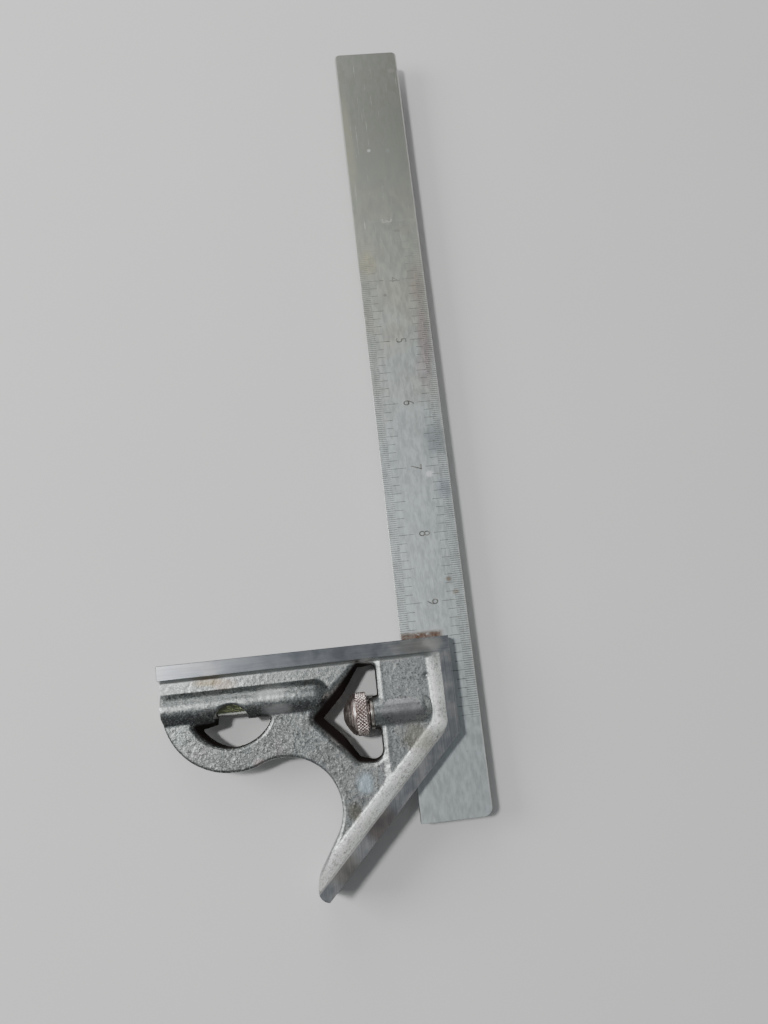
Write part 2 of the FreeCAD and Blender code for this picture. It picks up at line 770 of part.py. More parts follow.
def make_vial_liquid():
    """The spirit, with the bubble taken out of its upper side."""
    left = cell("vial_left") + cell("stopper_length")
    right = cell("vial_right") - cell("vial_end_wall")
    radius = cell("vial_inner_radius")
    profile = [(left, ZERO), (left, radius), (right, radius), (right, ZERO)]
    body = turned_part("vial_liquid", cell("vial_y"), profile)
    bubble = body.newObject("PartDesign::SubtractiveEllipsoid", "bubble")
    for path, size in (
        ("Radius1", cell("bubble_half_depth")),
        ("Radius2", cell("bubble_half_length")),
        ("Radius3", cell("bubble_half_width")),
        ("Placement.Base.x", cell("lobe_x")),
        ("Placement.Base.y", cell("vial_y")),
        ("Placement.Base.z", MIDDLE + radius),
    ):
        bind(bubble, path, size)
    return body


def make_vial_bedding():
    """The plaster sleeve that holds the tube in its bore, notched like the boss."""
    left, right = cell("vial_left") - cell("bedding_overhang"), cell("vial_bore_end")
    inner, outer = cell("vial_radius"), cell("vial_bore_radius")
    floor = cell("vial_right")
    profile = [(left, inner), (left, outer), (right, outer), (right, ZERO), (floor, ZERO), (floor, inner)]
    body = turned_part("vial_bedding", cell("vial_y"), profile)
    cut_notch(body)
    return body


def make_vial_end_plug():
    left = cell("head_left") + cell("plug_inset")
    right = left + cell("plug_length")
    radius = cell("vial_bore_radius")
    profile = [(left, ZERO), (left, radius), (right, radius), (right, ZERO)]
    return turned_part("vial_end_plug", cell("vial_y"), profile)


# --------------------------------------------------------------------- build and export

parts = [
    make_head_casting(),
    make_blade(),
    make_clamp_bolt(),
    make_clamp_nut(),
    make_clamp_washer(),
    make_clamp_spring(),
    make_vial_tube(),
    make_vial_stopper(),
    make_vial_liquid(),
    make_vial_bedding(),
    make_vial_end_plug(),
]
doc.recompute()

# Move the origin to the centre of the whole square's bounding box.
whole = FreeCAD.BoundBox()
for part in parts:
    whole.add(part.Shape.BoundBox)
sheet.set("origin_x", str(round(-whole.Center.x, ORIGIN_DIGITS)))
sheet.set("origin_y", str(round(-whole.Center.y, ORIGIN_DIGITS)))
doc.recompute()

for item in doc.Objects:
    if "Invalid" in item.State or "Error" in item.State:
        raise RuntimeError(f"{item.Label} did not compute: {item.State}")
for part in parts:
    if part.Shape.isNull() or not part.Shape.isValid():
        raise RuntimeError(f"{part.Label} has no valid shape")

os.makedirs("parts", exist_ok=True)
for part in parts:
    part.Shape.exportStep(f"parts/{part.Label}.step")
    box = part.Shape.BoundBox
    print(
        f"{part.Label}: {len(part.Shape.Solids)} solid, {part.Shape.Volume:.1f} mm3,"
        f" x {box.XMin:.2f}..{box.XMax:.2f} y {box.YMin:.2f}..{box.YMax:.2f}"
        f" z {box.ZMin:.2f}..{box.ZMax:.2f}"
    )
print("origin", sheet.get("origin_x"), sheet.get("origin_y"))
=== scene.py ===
import math

import bmesh
import bpy
import numpy as np
from mathutils import Euler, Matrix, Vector


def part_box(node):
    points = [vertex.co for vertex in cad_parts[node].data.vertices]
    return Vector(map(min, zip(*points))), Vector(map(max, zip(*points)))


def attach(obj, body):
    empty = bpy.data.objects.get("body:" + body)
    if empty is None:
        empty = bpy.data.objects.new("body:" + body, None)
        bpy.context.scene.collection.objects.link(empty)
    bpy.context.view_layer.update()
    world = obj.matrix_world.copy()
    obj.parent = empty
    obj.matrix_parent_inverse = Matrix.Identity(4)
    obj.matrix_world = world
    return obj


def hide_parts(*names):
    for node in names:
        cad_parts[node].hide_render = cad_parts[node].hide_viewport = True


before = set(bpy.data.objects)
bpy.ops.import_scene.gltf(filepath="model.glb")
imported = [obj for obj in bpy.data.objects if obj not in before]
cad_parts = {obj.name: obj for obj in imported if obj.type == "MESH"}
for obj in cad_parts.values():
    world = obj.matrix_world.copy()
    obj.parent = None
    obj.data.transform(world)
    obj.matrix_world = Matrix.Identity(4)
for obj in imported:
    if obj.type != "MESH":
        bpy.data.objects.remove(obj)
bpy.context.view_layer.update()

# A worn combination square: a cast head with ground rims, an engraved steel blade, a hook
# bolt with a knurled nut, and a spirit level bedded in the head.
#
# Sizes are in millimetres in the drawing frame: x across the blade from its centre line,
# y along the blade from its lower end, z up from the face that the head lies on.

MM = 0.001
blade_low, blade_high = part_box("blade")
ORIGIN = np.array([(blade_low.x + blade_high.x) / 2, blade_low.y, 0.0])

# Head
MIDDLE = 9.5
HEAD_LEFT = -98.5
HEAD_RIGHT = 3.6
HEAD_TOP = 19.0
SQUARE_FACE = 63.2
MITRE_CORNER = 29.8
LOBE = (-74.7, 48.6)
LOBE_RADIUS = 24.1
THROAT = (-58.1, 8.9)
ARM_SLOPE = math.radians(58.0)
TIP = (-45.7, -16.0)
TIP_RADIUS = 4.0
TIP_SIDE_RADIUS = 9.0
WEB_HALF = 3.75
BLOCK_LEFT = -22.3
BLOCK_RISE = 0.45
SQUARE_RIM_EDGE = 58.2
SIDE_RIM_EDGE = -0.1
MITRE_RIM_EDGE = 32.7
COVE_REACH = 5.0
COVE_POWER = 2.2
NOTCH = (-74.7, 41.5, 6.2)
SIGHT_RADIUS = 15.9
SIGHT_TOP = 42.6
FINGER_CORNERS = (
    (-48.5, 39.6, 3.0),
    (-32.2, 22.4, 4.3),
    (-22.9, 22.4, 4.3),
    (-22.9, 56.2, 2.0),
    (-29.8, 58.0, 2.0),
)

# Level
VIAL_Y = 48.0
VIAL_BOSS_RADIUS = 6.2
VIAL_BOSS_DOME = -45.4
VIAL_BORE_RADIUS = 4.5
VIAL_BORE_END = -53.5

# Clamp
CLAMP_Y = 39.4
CLAMP_BOSS_RADIUS = 5.8
CLAMP_BOSS_LEFT = -24.9
CLAMP_BOSS_CAP = -8.0
CLAMP_BORE_RADIUS = 3.55
CLAMP_BORE_LEFT = -22.4
SHANK_HOLE_RADIUS = 2.65

# Blade
BLADE_LENGTH = 304.8
BLADE_HALF = 12.7
BLADE_LOW = 8.3
BLADE_HIGH = 10.7
SLOT_LEFT = -12.72
SLOT_LOW = 8.25
SLOT_HIGH = 10.75
INCH = 25.4
TICKS_PER_INCH = 32
NUMERALS = range(3, 10)
DIGIT_SCALE = 1.38
WORN_ABOVE = 196.0
WORN_ABOVE_REACH = 42.0
WORN_BELOW = 30.0
WORN_BELOW_REACH = 18.0
GROOVE_HALF = 1.6
GROOVE_DEPTH = 0.6

# Turned parts
NUT_RADIUS = 7.6
KNURL_COUNT = 36
KNURL_DEPTH = 0.5
TURNING_PITCH = 0.35


# ---- mesh tools


def to_row(points):
    """Points in the drawing frame, in millimetres, to the row frame in metres."""
    return np.asarray(points, float) * MM + ORIGIN


def mesh_from(name, points, faces):
    mesh = bpy.data.meshes.new(name)
    mesh.from_pydata([tuple(p) for p in to_row(points)], [], faces)
    mesh.update()
    return link(bpy.data.objects.new(name, mesh))


def link(piece):
    bpy.context.scene.collection.objects.link(piece)
    return piece


def prism(name, outlines, heights):
    """A closed solid through outlines of equal count, one at each height."""
    count = len(outlines[0])
    points = [(x, y, z) for outline, z in zip(outlines, heights) for x, y in outline]
    faces = [tuple(range(count - 1, -1, -1))]
    for ring in range(len(outlines) - 1):
        for i in range(count):
            j = (i + 1) % count
            low, high = ring * count, (ring + 1) * count
            faces.append((low + i, low + j, high + j, high + i))
    last = (len(outlines) - 1) * count
    faces.append(tuple(range(last, last + count)))
    return mesh_from(name, points, faces)


def rectangle(low, high):
    return [(low[0], low[1]), (high[0], low[1]), (high[0], high[1]), (low[0], high[1])]


def block(name, low, high):
    """A plain box between two corners, for cutting with."""
    outline = rectangle(low, high)
    return prism(name, [outline, outline], [low[2], high[2]])


def lathe(name, profile, axis_y, segments=96, ripple=None):
    """Turns a closed profile of (x, radius) about the line y = axis_y, z = MIDDLE."""
    turned = np.arange(segments) / segments * math.tau
    points, rings, faces = [], [], []
    for x, radius in profile:
        if radius == 0:
            rings.append([len(points)])
            points.append((x, axis_y, MIDDLE))
            continue
        around = radius + (ripple(x, turned) if ripple else 0 * turned)
        rings.append(list(range(len(points), len(points) + segments)))
        points += [
            (x, axis_y + r * math.cos(a), MIDDLE + r * math.sin(a)) for r, a in zip(around, turned)
        ]
    pairs = list(zip(rings, rings[1:]))
    if len(rings[0]) > 1:
        pairs.append((rings[-1], rings[0]))
    for one, two in pairs:
        for i in range(segments):
            j = (i + 1) % segments
            m, n = len(one), len(two)
            face = dict.fromkeys((one[i % m], one[j % m], two[j % n], two[i % n]))
            if len(face) > 2:
                faces.append(tuple(face))
    return mesh_from(name, points, faces)


def combine(piece, tool, operation):
    """Applies one boolean to the piece and removes the tool."""
    step = piece.modifiers.new("cut", "BOOLEAN")
    step.object = tool
    step.operation = operation
    step.solver = "MANIFOLD"
    graph = bpy.context.evaluated_depsgraph_get()
    made = bpy.data.meshes.new_from_object(piece.evaluated_get(graph))
    if len(made.polygons) in (0, len(piece.data.polygons)):
        raise RuntimeError(f"{tool.name} did not cut {piece.name}")
    piece.modifiers.clear()
    piece.data = made
    bpy.data.objects.remove(tool)


def shade(piece, degrees):
    """Smooth shading, with edges sharper than the angle kept crisp."""
    piece.data.shade_smooth()
    piece.data.set_sharp_from_angle(angle=math.radians(degrees))


def finish_piece(piece, body, node, materials, degrees=None):
    """Puts the materials on, and says which body the piece rides and which node it replaces."""
    mesh = piece.data
    chosen = np.zeros(len(mesh.polygons), np.int32)
    mesh.polygons.foreach_get("material_index", chosen)
    mesh.materials.clear()
    for material in materials:
        mesh.materials.append(material)
    mesh.polygons.foreach_set("material_index", chosen)
    if degrees is not None:
        shade(piece, degrees)
    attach(piece, body)
    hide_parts(node)


# ---- node materials


class Paint:
    """The node tree of one material. Its coordinates are drawing-frame millimetres."""

    def __init__(self, name):
        self.material = bpy.data.materials.new(name)
        self.material.use_nodes = True
        self.tree = self.material.node_tree
        self.shader = self.tree.nodes["Principled BSDF"]
        place = self.node("TexCoord").outputs["Object"]
        self.place = self.vector("MULTIPLY_ADD", place, (1 / MM,) * 3, tuple(-ORIGIN / MM))
        apart = self.node("SeparateXYZ")
        self.tree.links.new(self.place, apart.inputs[0])
        self.x, self.y, self.z = apart.outputs

    def node(self, kind):
        return self.tree.nodes.new("ShaderNode" + kind)

    def plug(self, socket, value):
        if isinstance(value, bpy.types.NodeSocket):
            self.tree.links.new(value, socket)
        else:
            socket.default_value = value

    def vector(self, operation, *values):
        node = self.node("VectorMath")
        node.operation = operation
        for socket, value in zip(node.inputs, values):
            self.plug(socket, value)
        return node.outputs[0]

    def math(self, operation, *values, clamp=False):
        node = self.node("Math")
        node.operation = operation
        node.use_clamp = clamp
        for socket, value in zip(node.inputs, values):
            self.plug(socket, value)
        return node.outputs[0]

    def times(self, first, second):
        return self.math("MULTIPLY", first, second)

    def minus(self, first, second):
        return self.math("SUBTRACT", first, second)

    def noise(self, period, detail=2.0, roughness=0.5, stretch=(1, 1, 1), seed=0.0):
        """Noise from 0 to 1 whose main features are about one period across."""
        node = self.node("TexNoise")
        node.noise_dimensions = "4D"
        scaled = self.vector("MULTIPLY", self.place, tuple(1 / s for s in stretch))
        self.plug(node.inputs["Vector"], scaled)
        settings = {"W": seed, "Scale": 1 / period, "Detail": detail, "Roughness": roughness}
        for label, value in settings.items():
            node.inputs[label].default_value = value
        return node.outputs["Fac"]

    def ramp(self, value, low, high, start=0.0, end=1.0):
        """A smooth step of value between low and high, from start to end."""
        node = self.node("MapRange")
        node.interpolation_type = "SMOOTHSTEP"
        for socket, setting in zip(node.inputs[:5], (value, low, high, start, end)):
            self.plug(socket, setting)
        return node.outputs[0]

    def mix(self, factor, first, second):
        node = self.node("Mix")
        node.data_type = "RGBA"
        self.plug(node.inputs["Factor"], factor)
        colours = [s for s in node.inputs if s.type == "RGBA"]
        for socket, colour in zip(colours, (first, second)):
            if isinstance(colour, tuple):
                colour = (*colour, 1.0)
            self.plug(socket, colour)
        return [s for s in node.outputs if s.type == "RGBA"][0]

    def coat(self, mask, tone, much=None):
        """Lays a tone over the colour so far, where the mask is 1."""
        if much is not None:
            mask = self.times(mask, much)
        self.colour = self.mix(mask, self.colour, tone)

    def fade(self, value, low, high, tone, much):
        """Lays a tone on, from none where the value is low to much where it is high."""
        self.coat(self.ramp(value, low, high, 0, much), tone)

    def blend(self, value, low, high, first, second):
        """One tone where the value is low, the other where it is high."""
        return self.mix(self.ramp(value, low, high), first, second)

    def patches(self, *rows):
        """Stains, worn patches and patches of painted light and shade: each has its middle, half
        sizes, tone and strength.
        """
        for x, y, half_x, half_y, tone, much in rows:
            self.coat(self.spot(x, y, half_x, half_y), tone, much)

    def spot(self, x, y, half_x, half_y, ragged=0.35):
        """1 in the middle of an uneven oval patch, 0 outside it."""
        across = self.math("DIVIDE", self.minus(self.x, x), half_x)
        along = self.math("DIVIDE", self.minus(self.y, y), half_y)
        squares = (self.math("POWER", part, 2.0) for part in (across, along))
        away = self.math("SQRT", self.math("ADD", *squares))
        rough = self.noise(max(half_x, half_y) * 0.5, 3.0, seed=x + y)
        away = self.math("MULTIPLY_ADD", self.minus(rough, 0.5), 2 * ragged, away)
        return self.ramp(away, 1.0, 0.35)

    def attribute(self, name):
        node = self.node("Attribute")
        node.attribute_name = name
        return node.outputs["Fac"]

    def bump(self, height, depth, under=None):
        """Relief of the given depth in millimetres."""
        node = self.node("Bump")
        node.inputs["Distance"].default_value = depth * MM
        self.plug(node.inputs["Height"], height)
        if under is not None:
            self.plug(node.inputs["Normal"], under)
        return node.outputs[0]

    def set(self, **values):
        for name, value in values.items():
            label = "IOR" if name == "ior" else name.replace("_", " ").title()
            self.plug(self.shader.inputs[label], value)
        return self.material


def cast_iron():
    """Sand-cast, plated and worn: a granular silver grey with stains, painted shade on the window
    walls, boss flanks and rim feet, and painted highlights on the coves and upper flanks.
    """
    paint = Paint("cast_iron")
    grain = paint.noise(0.55, 2, 0.6)
    cloud = paint.noise(9, 3, 0.55, seed=4)
    tint = paint.noise(14, 2, 0.5, seed=9)
    paint.colour = paint.blend(tint, 0.35, 0.65, (0.135, 0.15, 0.147), (0.15, 0.15, 0.147))
    paint.fade(paint.x, -66, -14, (0.4, 0.42, 0.42), 0.75)
    # Painted highlight: the upper web on the left, with the level boss's upper flank, is coloured
    # paler, as lit from above.
    upper = paint.times(paint.ramp(paint.y, 43, 49), paint.ramp(paint.x, -25, -31))
    paint.coat(upper, (0.29, 0.31, 0.305), 0.8)
    # Painted highlight: the coves of the side and mitre rims are coloured pale, as where they catch
    # the light.
    cove = paint.attribute("cove")
    paint.coat(cove, (0.66, 0.675, 0.65), 0.85)
    paint.fade(cloud, 0.45, 0.7, (0.1, 0.11, 0.115), 0.3)
    # The grain's tone follows its relief: partly the casting's own speckle, partly painted shade in
    # the pits and painted sparkle on the raised grains.
    paint.fade(paint.attribute("grain"), -0.4, -2, (0.04, 0.04, 0.04), 0.45)
    paint.fade(paint.attribute("grain"), 0.2, 2, (0.36, 0.38, 0.37), 0.5)
    paint.fade(grain, 0.53, 0.66, (0.6, 0.63, 0.61), 0.55)
    paint.fade(grain, 0.48, 0.36, (0.05, 0.05, 0.05), 0.5)
    # Painted light: the web just below the square rim is coloured paler, lifting the shade under
    # the rim wall.
    paint.fade(paint.y, SQUARE_RIM_EDGE - 1.9, SQUARE_RIM_EDGE - 0.9, (0.75, 0.77, 0.76), 0.7)
    # Painted shade: the lower flanks of both bosses are coloured darker, as where they face away
    # from the light.
    under = paint.attribute("under")
    paint.coat(under, (0.07, 0.07, 0.073), 0.35)
    # Painted shade: a dark line along the foot of the square and mitre rims, where the web meets
    # the rim wall.
    mitre = paint.minus(paint.minus(paint.y, paint.x), MITRE_RIM_EDGE)
    rim_foot_shade = paint.math("MINIMUM", mitre, paint.minus(SQUARE_RIM_EDGE, paint.y))
    paint.fade(rim_foot_shade, 0.45, 0.2, (0.05, 0.048, 0.045), 0.4)
    paint.patches(
        (-15, CLAMP_Y, 9, 5.5, (0.3, 0.295, 0.31), 0.6),
        # Painted highlight on the level boss's upper flank.
        (-60, 50.4, 7, 4, (0.62, 0.64, 0.63), 0.6),
        # Painted shade at the level boss's domed end.
        (-46.5, 50.4, 5, 4, (0.12, 0.125, 0.125), 0.6),
        # Painted light on the level boss's lower flank, easing the painted shade there.
        (-58.2, 44.3, 7, 2.5, (0.6, 0.6, 0.6), 0.7),
        (-12, 31, 7, 4, (0.5, 0.52, 0.52), 0.4),
        (-82, 56.4, 7.5, 2.4, (0.25, 0.19, 0.1), 0.55),
        (-76, 54.8, 5.5, 2.6, (0.29, 0.21, 0.16), 0.45),
        (-30.5, 16, 3.8, 4.6, (0.46, 0.57, 0.64), 0.85),
        (-35, 7, 3, 4.5, (0.12, 0.11, 0.08), 0.6),
        (-11, 29.5, 7.5, 6.5, (0.15, 0.14, 0.09), 0.55),
        (-29, 27, 5, 4, (0.14, 0.13, 0.1), 0.25),
        (-50, 22, 8, 5, (0.19, 0.2, 0.24), 0.5),
        (-66, 27, 3, 2, (0.28, 0.23, 0.23), 0.5),
    )
    # Painted shade: the window walls are coloured near black, as where they face away from the
    # light.
    wall = paint.attribute("wall")
    paint.coat(wall, (0.032, 0.024, 0.022))
    rough = paint.ramp(cloud, 0.3, 0.7, 0.32, 0.42)
    rough = paint.math("MULTIPLY_ADD", wall, 0.35, rough, clamp=True)
    rough = paint.math("MULTIPLY_ADD", cove, 0.2, rough, clamp=True)
    fine = paint.bump(grain, 0.05)
    return paint.set(base_color=paint.colour, metallic=0.92, roughness=rough, normal=fine)


def ground_iron():
    """The machined rims: brushed by the grinder, dulled and scratched by use, with painted shade
    along the square rim and painted highlights at the corner and on the mitre rim's inner edge.
    """
    paint = Paint("ground_iron")
    along_x = paint.noise(0.35, 3, 0.6, stretch=(40, 1, 1))
    along_y = paint.noise(0.35, 3, 0.6, stretch=(1, 40, 1), seed=2)
    top = paint.ramp(paint.y, SQUARE_RIM_EDGE - 0.6, SQUARE_RIM_EDGE)
    below = paint.minus(1, top)
    lines = paint.math("ADD", paint.times(along_x, top), paint.times(along_y, below))
    cloud = paint.noise(7, 3, 0.6, seed=5)
    paint.colour = paint.blend(cloud, 0.35, 0.7, (0.26, 0.275, 0.3), (0.34, 0.345, 0.345))
    paint.coat(paint.ramp(lines, 0.35, 0.65, 0.35, 0), (0.1, 0.1, 0.1))
    paint.patches(
        (-27, 2.5, 9, 9, (0.12, 0.1, 0.09), 0.7),
        (-8, 60.5, 9, 4, (0.16, 0.16, 0.13), 0.5),
        # Painted highlight on the rim at the corner of the square and side faces.
        (-2, 61, 5, 3, (0.42, 0.425, 0.4), 0.7),
        (-40, -10, 8, 8, (0.13, 0.12, 0.1), 0.6),
    )
    shaded = paint.times(top, paint.ramp(paint.x, -97, -62, 0, 0.75))
    shaded = paint.times(shaded, paint.ramp(paint.x, 2, -35, 0, 1))
    paint.coat(shaded, (0.075, 0.082, 0.095))
    # Painted highlight: a thin bright line along the mitre rim's inner edge.
    mitre = paint.minus(paint.minus(paint.y, paint.x), MITRE_RIM_EDGE)
    edge = paint.times(paint.ramp(mitre, -0.75, -0.35), paint.ramp(paint.x, 0, -3))
    edge = paint.times(edge, below)
    paint.coat(edge, (0.5, 0.5, 0.48), 0.9)
    nicks = paint.noise(1.6, 4, 0.7, seed=8)
    paint.fade(nicks, 0.33, 0.25, (0.08, 0.075, 0.07), 0.6)
    rough = paint.ramp(cloud, 0.3, 0.7, 0.3, 0.38)
    relief = paint.bump(lines, 0.02)
    return paint.set(base_color=paint.colour, metallic=1, roughness=rough, normal=relief)


def bore_metal():
    """The slot and the bores: dark, oily and rarely seen."""
    paint = Paint("bore_metal")
    rings = paint.noise(0.5, 2, 0.5, stretch=(1, 6, 6))
    colour = paint.blend(rings, 0.3, 0.7, (0.1, 0.095, 0.09), (0.2, 0.19, 0.18))
    return paint.set(base_color=colour, metallic=0.9, roughness=0.5, normal=paint.bump(rings, 0.02))


def blade_steel():
    """Satin steel: greenish above, bluish below, with rust, stains and scratches."""
    paint = Paint("blade_steel")
    cloud = paint.noise(16, 3, 0.55)
    fine = paint.noise(1.2, 3, 0.6, stretch=(1, 3, 1), seed=3)
    green, warm, blue = (0.52, 0.55, 0.48), (0.55, 0.55, 0.48), (0.6, 0.68, 0.71)
    paint.colour = paint.blend(cloud, 0.4, 0.62, green, warm)
    lower = paint.ramp(paint.math("MULTIPLY_ADD", cloud, 60, paint.y), 240, 150)
    paint.coat(lower, blue, 0.75)
    # Painted shade: the blade is coloured darker towards its upper end, where less light falls on
    # it.
    paint.fade(paint.y, 180, 290, (0.19, 0.195, 0.172), 0.85)
    paint.patches(
        (-9, 211, 4.5, 7, (0.52, 0.5, 0.34), 0.6),
        (-11, 262, 3, 34, (0.46, 0.46, 0.34), 0.35),
        (9.5, 178, 3.5, 20, (0.42, 0.32, 0.32), 0.6),
        (9.5, 200, 3.5, 12, (0.44, 0.37, 0.32), 0.5),
        (8, 165, 4, 9, (0.5, 0.42, 0.43), 0.5),
        (10, 118, 4, 5.5, (0.38, 0.42, 0.5), 0.6),
        (8.5, 137, 6, 9, (0.33, 0.37, 0.4), 0.75),
        (7.5, 224, 4, 3, (0.44, 0.42, 0.36), 0.5),
        (4.2, 224, 2, 0.9, (0.3, 0.29, 0.27), 0.6),
        (4.5, 259.5, 1.2, 1.5, (0.33, 0.36, 0.33), 0.8),
        (10, 296, 2, 1.5, (0.32, 0.31, 0.28), 0.8),
        (-3.2, 260, 1, 0.9, (0.8, 0.82, 0.8), 0.7),
        (7.5, 84, 1.4, 1.4, (0.3, 0.24, 0.18), 0.9),
        (9.5, 79, 1.6, 1.2, (0.36, 0.3, 0.22), 0.7),
        (-3.5, 197, 1, 0.8, (0.28, 0.27, 0.25), 0.7),
        (6, 50, 5, 5, (0.42, 0.47, 0.47), 0.3),
    )
    rust = paint.ramp(paint.y, SQUARE_FACE + 3.9, SQUARE_FACE + 1.6)
    rust = paint.times(rust, paint.ramp(paint.y, SQUARE_FACE - 3, SQUARE_FACE - 0.5))
    rust = paint.times(rust, paint.ramp(paint.x, 5, 1))
    rust = paint.times(rust, paint.ramp(paint.noise(2.2, 4, 0.7), 0.2, 0.5))
    paint.coat(rust, (0.115, 0.062, 0.038))
    paint.coat(paint.ramp(fine, 0.35, 0.65, 0.3, 0), (0.32, 0.33, 0.32))
    paint.fade(paint.noise(1.3, 3, 0.7, seed=7), 0.32, 0.24, (0.26, 0.25, 0.23), 0.55)
    scratch = paint.noise(0.5, 3, 0.7, stretch=(1, 28, 1), seed=6)
    paint.fade(scratch, 0.62, 0.74, (0.82, 0.84, 0.84), 0.55)
    paint.fade(paint.math("ABSOLUTE", paint.x), 12, 12.6, (0.8, 0.8, 0.78), 0.6)
    glint = paint.spot(5.2, 124, 2.1, 1.7, 0.12)
    paint.coat(glint, (0.93, 0.95, 1))
    rough = paint.ramp(fine, 0.3, 0.7, 0.38, 0.43)
    rough = paint.math("MULTIPLY_ADD", rust, 0.4, rough, clamp=True)
    metal = paint.math("MULTIPLY_ADD", rust, -0.7, 1)
    relief = paint.bump(scratch, 0.012)
    relief = paint.bump(fine, 0.008, relief)
    return paint.set(base_color=paint.colour, metallic=metal, roughness=rough, normal=relief)


def graduation_fill():
    """Dirt in the engraved lines, paler where the blade is worn."""
    paint = Paint("graduation_fill")
    patchy = paint.noise(1.5, 3, 0.6)
    worn = paint.ramp(paint.y, 185, 232, 0, 0.85)
    paint.colour = paint.blend(patchy, 0.35, 0.65, (0.1, 0.1, 0.09), (0.24, 0.24, 0.22))
    paint.coat(worn, (0.46, 0.47, 0.43))
    return paint.set(base_color=paint.colour, metallic=0.55, roughness=0.6)


def nut_steel():
    """The knurled nut: rust-tinted steel, darker in the knurl's grooves, with painted shade on the
    nose dome.
    """
    paint = Paint("nut_steel")
    cloud = paint.noise(2.2, 4, 0.65)
    paint.colour = paint.blend(cloud, 0.35, 0.65, (0.5, 0.41, 0.39), (0.74, 0.67, 0.64))
    # Painted shade: the nose dome is coloured darker than the knurl.
    paint.fade(paint.x, -31.3, -31.9, (0.38, 0.33, 0.31), 0.8)
    paint.fade(paint.attribute("knurl"), 0.55, 0, (0.05, 0.035, 0.03), 0.85)
    rings = paint.noise(0.3, 2, 0.5, stretch=(1, 30, 30))
    rough = paint.ramp(cloud, 0.3, 0.7, 0.3, 0.46)
    return paint.set(
        base_color=paint.colour, metallic=1, roughness=rough, normal=paint.bump(rings, 0.02)
    )


def plain_steel(name, light, dark, roughness, seed):
    """Bare steel with a mottled film of oxide."""
    paint = Paint(name)
    cloud = paint.noise(1.8, 4, 0.65, seed=seed)
    turned = paint.noise(0.25, 2, 0.5, stretch=(1, 25, 25), seed=seed)
    colour = paint.blend(cloud, 0.35, 0.65, dark, light)
    rough = paint.ramp(cloud, 0.3, 0.7, roughness + 0.1, roughness - 0.05)
    return paint.set(
        base_color=colour, metallic=1, roughness=rough, normal=paint.bump(turned, 0.015)
    )


def plug_brass():
    """A turned brass disc, browned by age."""
    paint = Paint("plug_brass")
    cloud = paint.noise(2, 4, 0.6)
    colour = paint.blend(cloud, 0.35, 0.7, (0.36, 0.24, 0.1), (0.7, 0.52, 0.24))
    across = paint.minus(paint.y, VIAL_Y)
    up = paint.minus(paint.z, MIDDLE)
    away = paint.math("SQRT", paint.math("MULTIPLY_ADD", across, across, paint.times(up, up)))
    rings = paint.math("SINE", paint.times(away, math.tau / TURNING_PITCH))
    return paint.set(
        base_color=colour, metallic=1, roughness=0.38, normal=paint.bump(rings, 0.008)
    )


def vial_glass():
    paint = Paint("vial_glass")
    smear = paint.noise(1.5, 3, 0.6)
    rough = paint.ramp(smear, 0.4, 0.7, 0.03, 0.16)
    tone = paint.mix(paint.ramp(smear, 0.5, 0.8, 0, 0.3), (0.96, 0.99, 0.94), (0.85, 0.88, 0.8))
    return paint.set(base_color=tone, roughness=rough, ior=1.5, transmission_weight=1)


def mottled(name, noise, low, high, first, second, relief=0, **settings):
    """A plain material whose tone follows one noise, with relief in millimetres if any."""
    paint = Paint(name)
    grain = paint.noise(*noise)
    if relief:
        settings["normal"] = paint.bump(grain, relief)
    return paint.set(base_color=paint.blend(grain, low, high, first, second), **settings)


def vial_spirit():
    """The yellow-green spirit, a little cloudy."""
    tones = (0.46, 0.49, 0.27), (0.56, 0.59, 0.36)
    look = {"roughness": 0.1, "ior": 1.36, "transmission_weight": 0.45}
    return mottled("vial_spirit", (3, 2, 0.5), 0.3, 0.7, *tones, **look)


def vial_seal():
    tones = (0.05, 0.035, 0.03), (0.12, 0.08, 0.06)
    return mottled("vial_seal", (0.5, 3, 0.6), 0.3, 0.7, *tones, relief=0.05, roughness=0.7)


def bedding_plaster():
    tones = (0.35, 0.33, 0.27), (0.6, 0.58, 0.5)
    noise = (0.6, 4, 0.65)
    return mottled("bedding_plaster", noise, 0.3, 0.7, *tones, relief=0.08, roughness=0.85)


# ---- head outlines


def arc(centre, radius, start, end, step=0.4):
    """Points on an arc from one angle to another, both included."""
    count = max(2, int(abs(end - start) * radius / step))
    turned = np.linspace(start, end, count + 1)
    return [(centre[0] + radius * math.cos(a), centre[1] + radius * math.sin(a)) for a in turned]


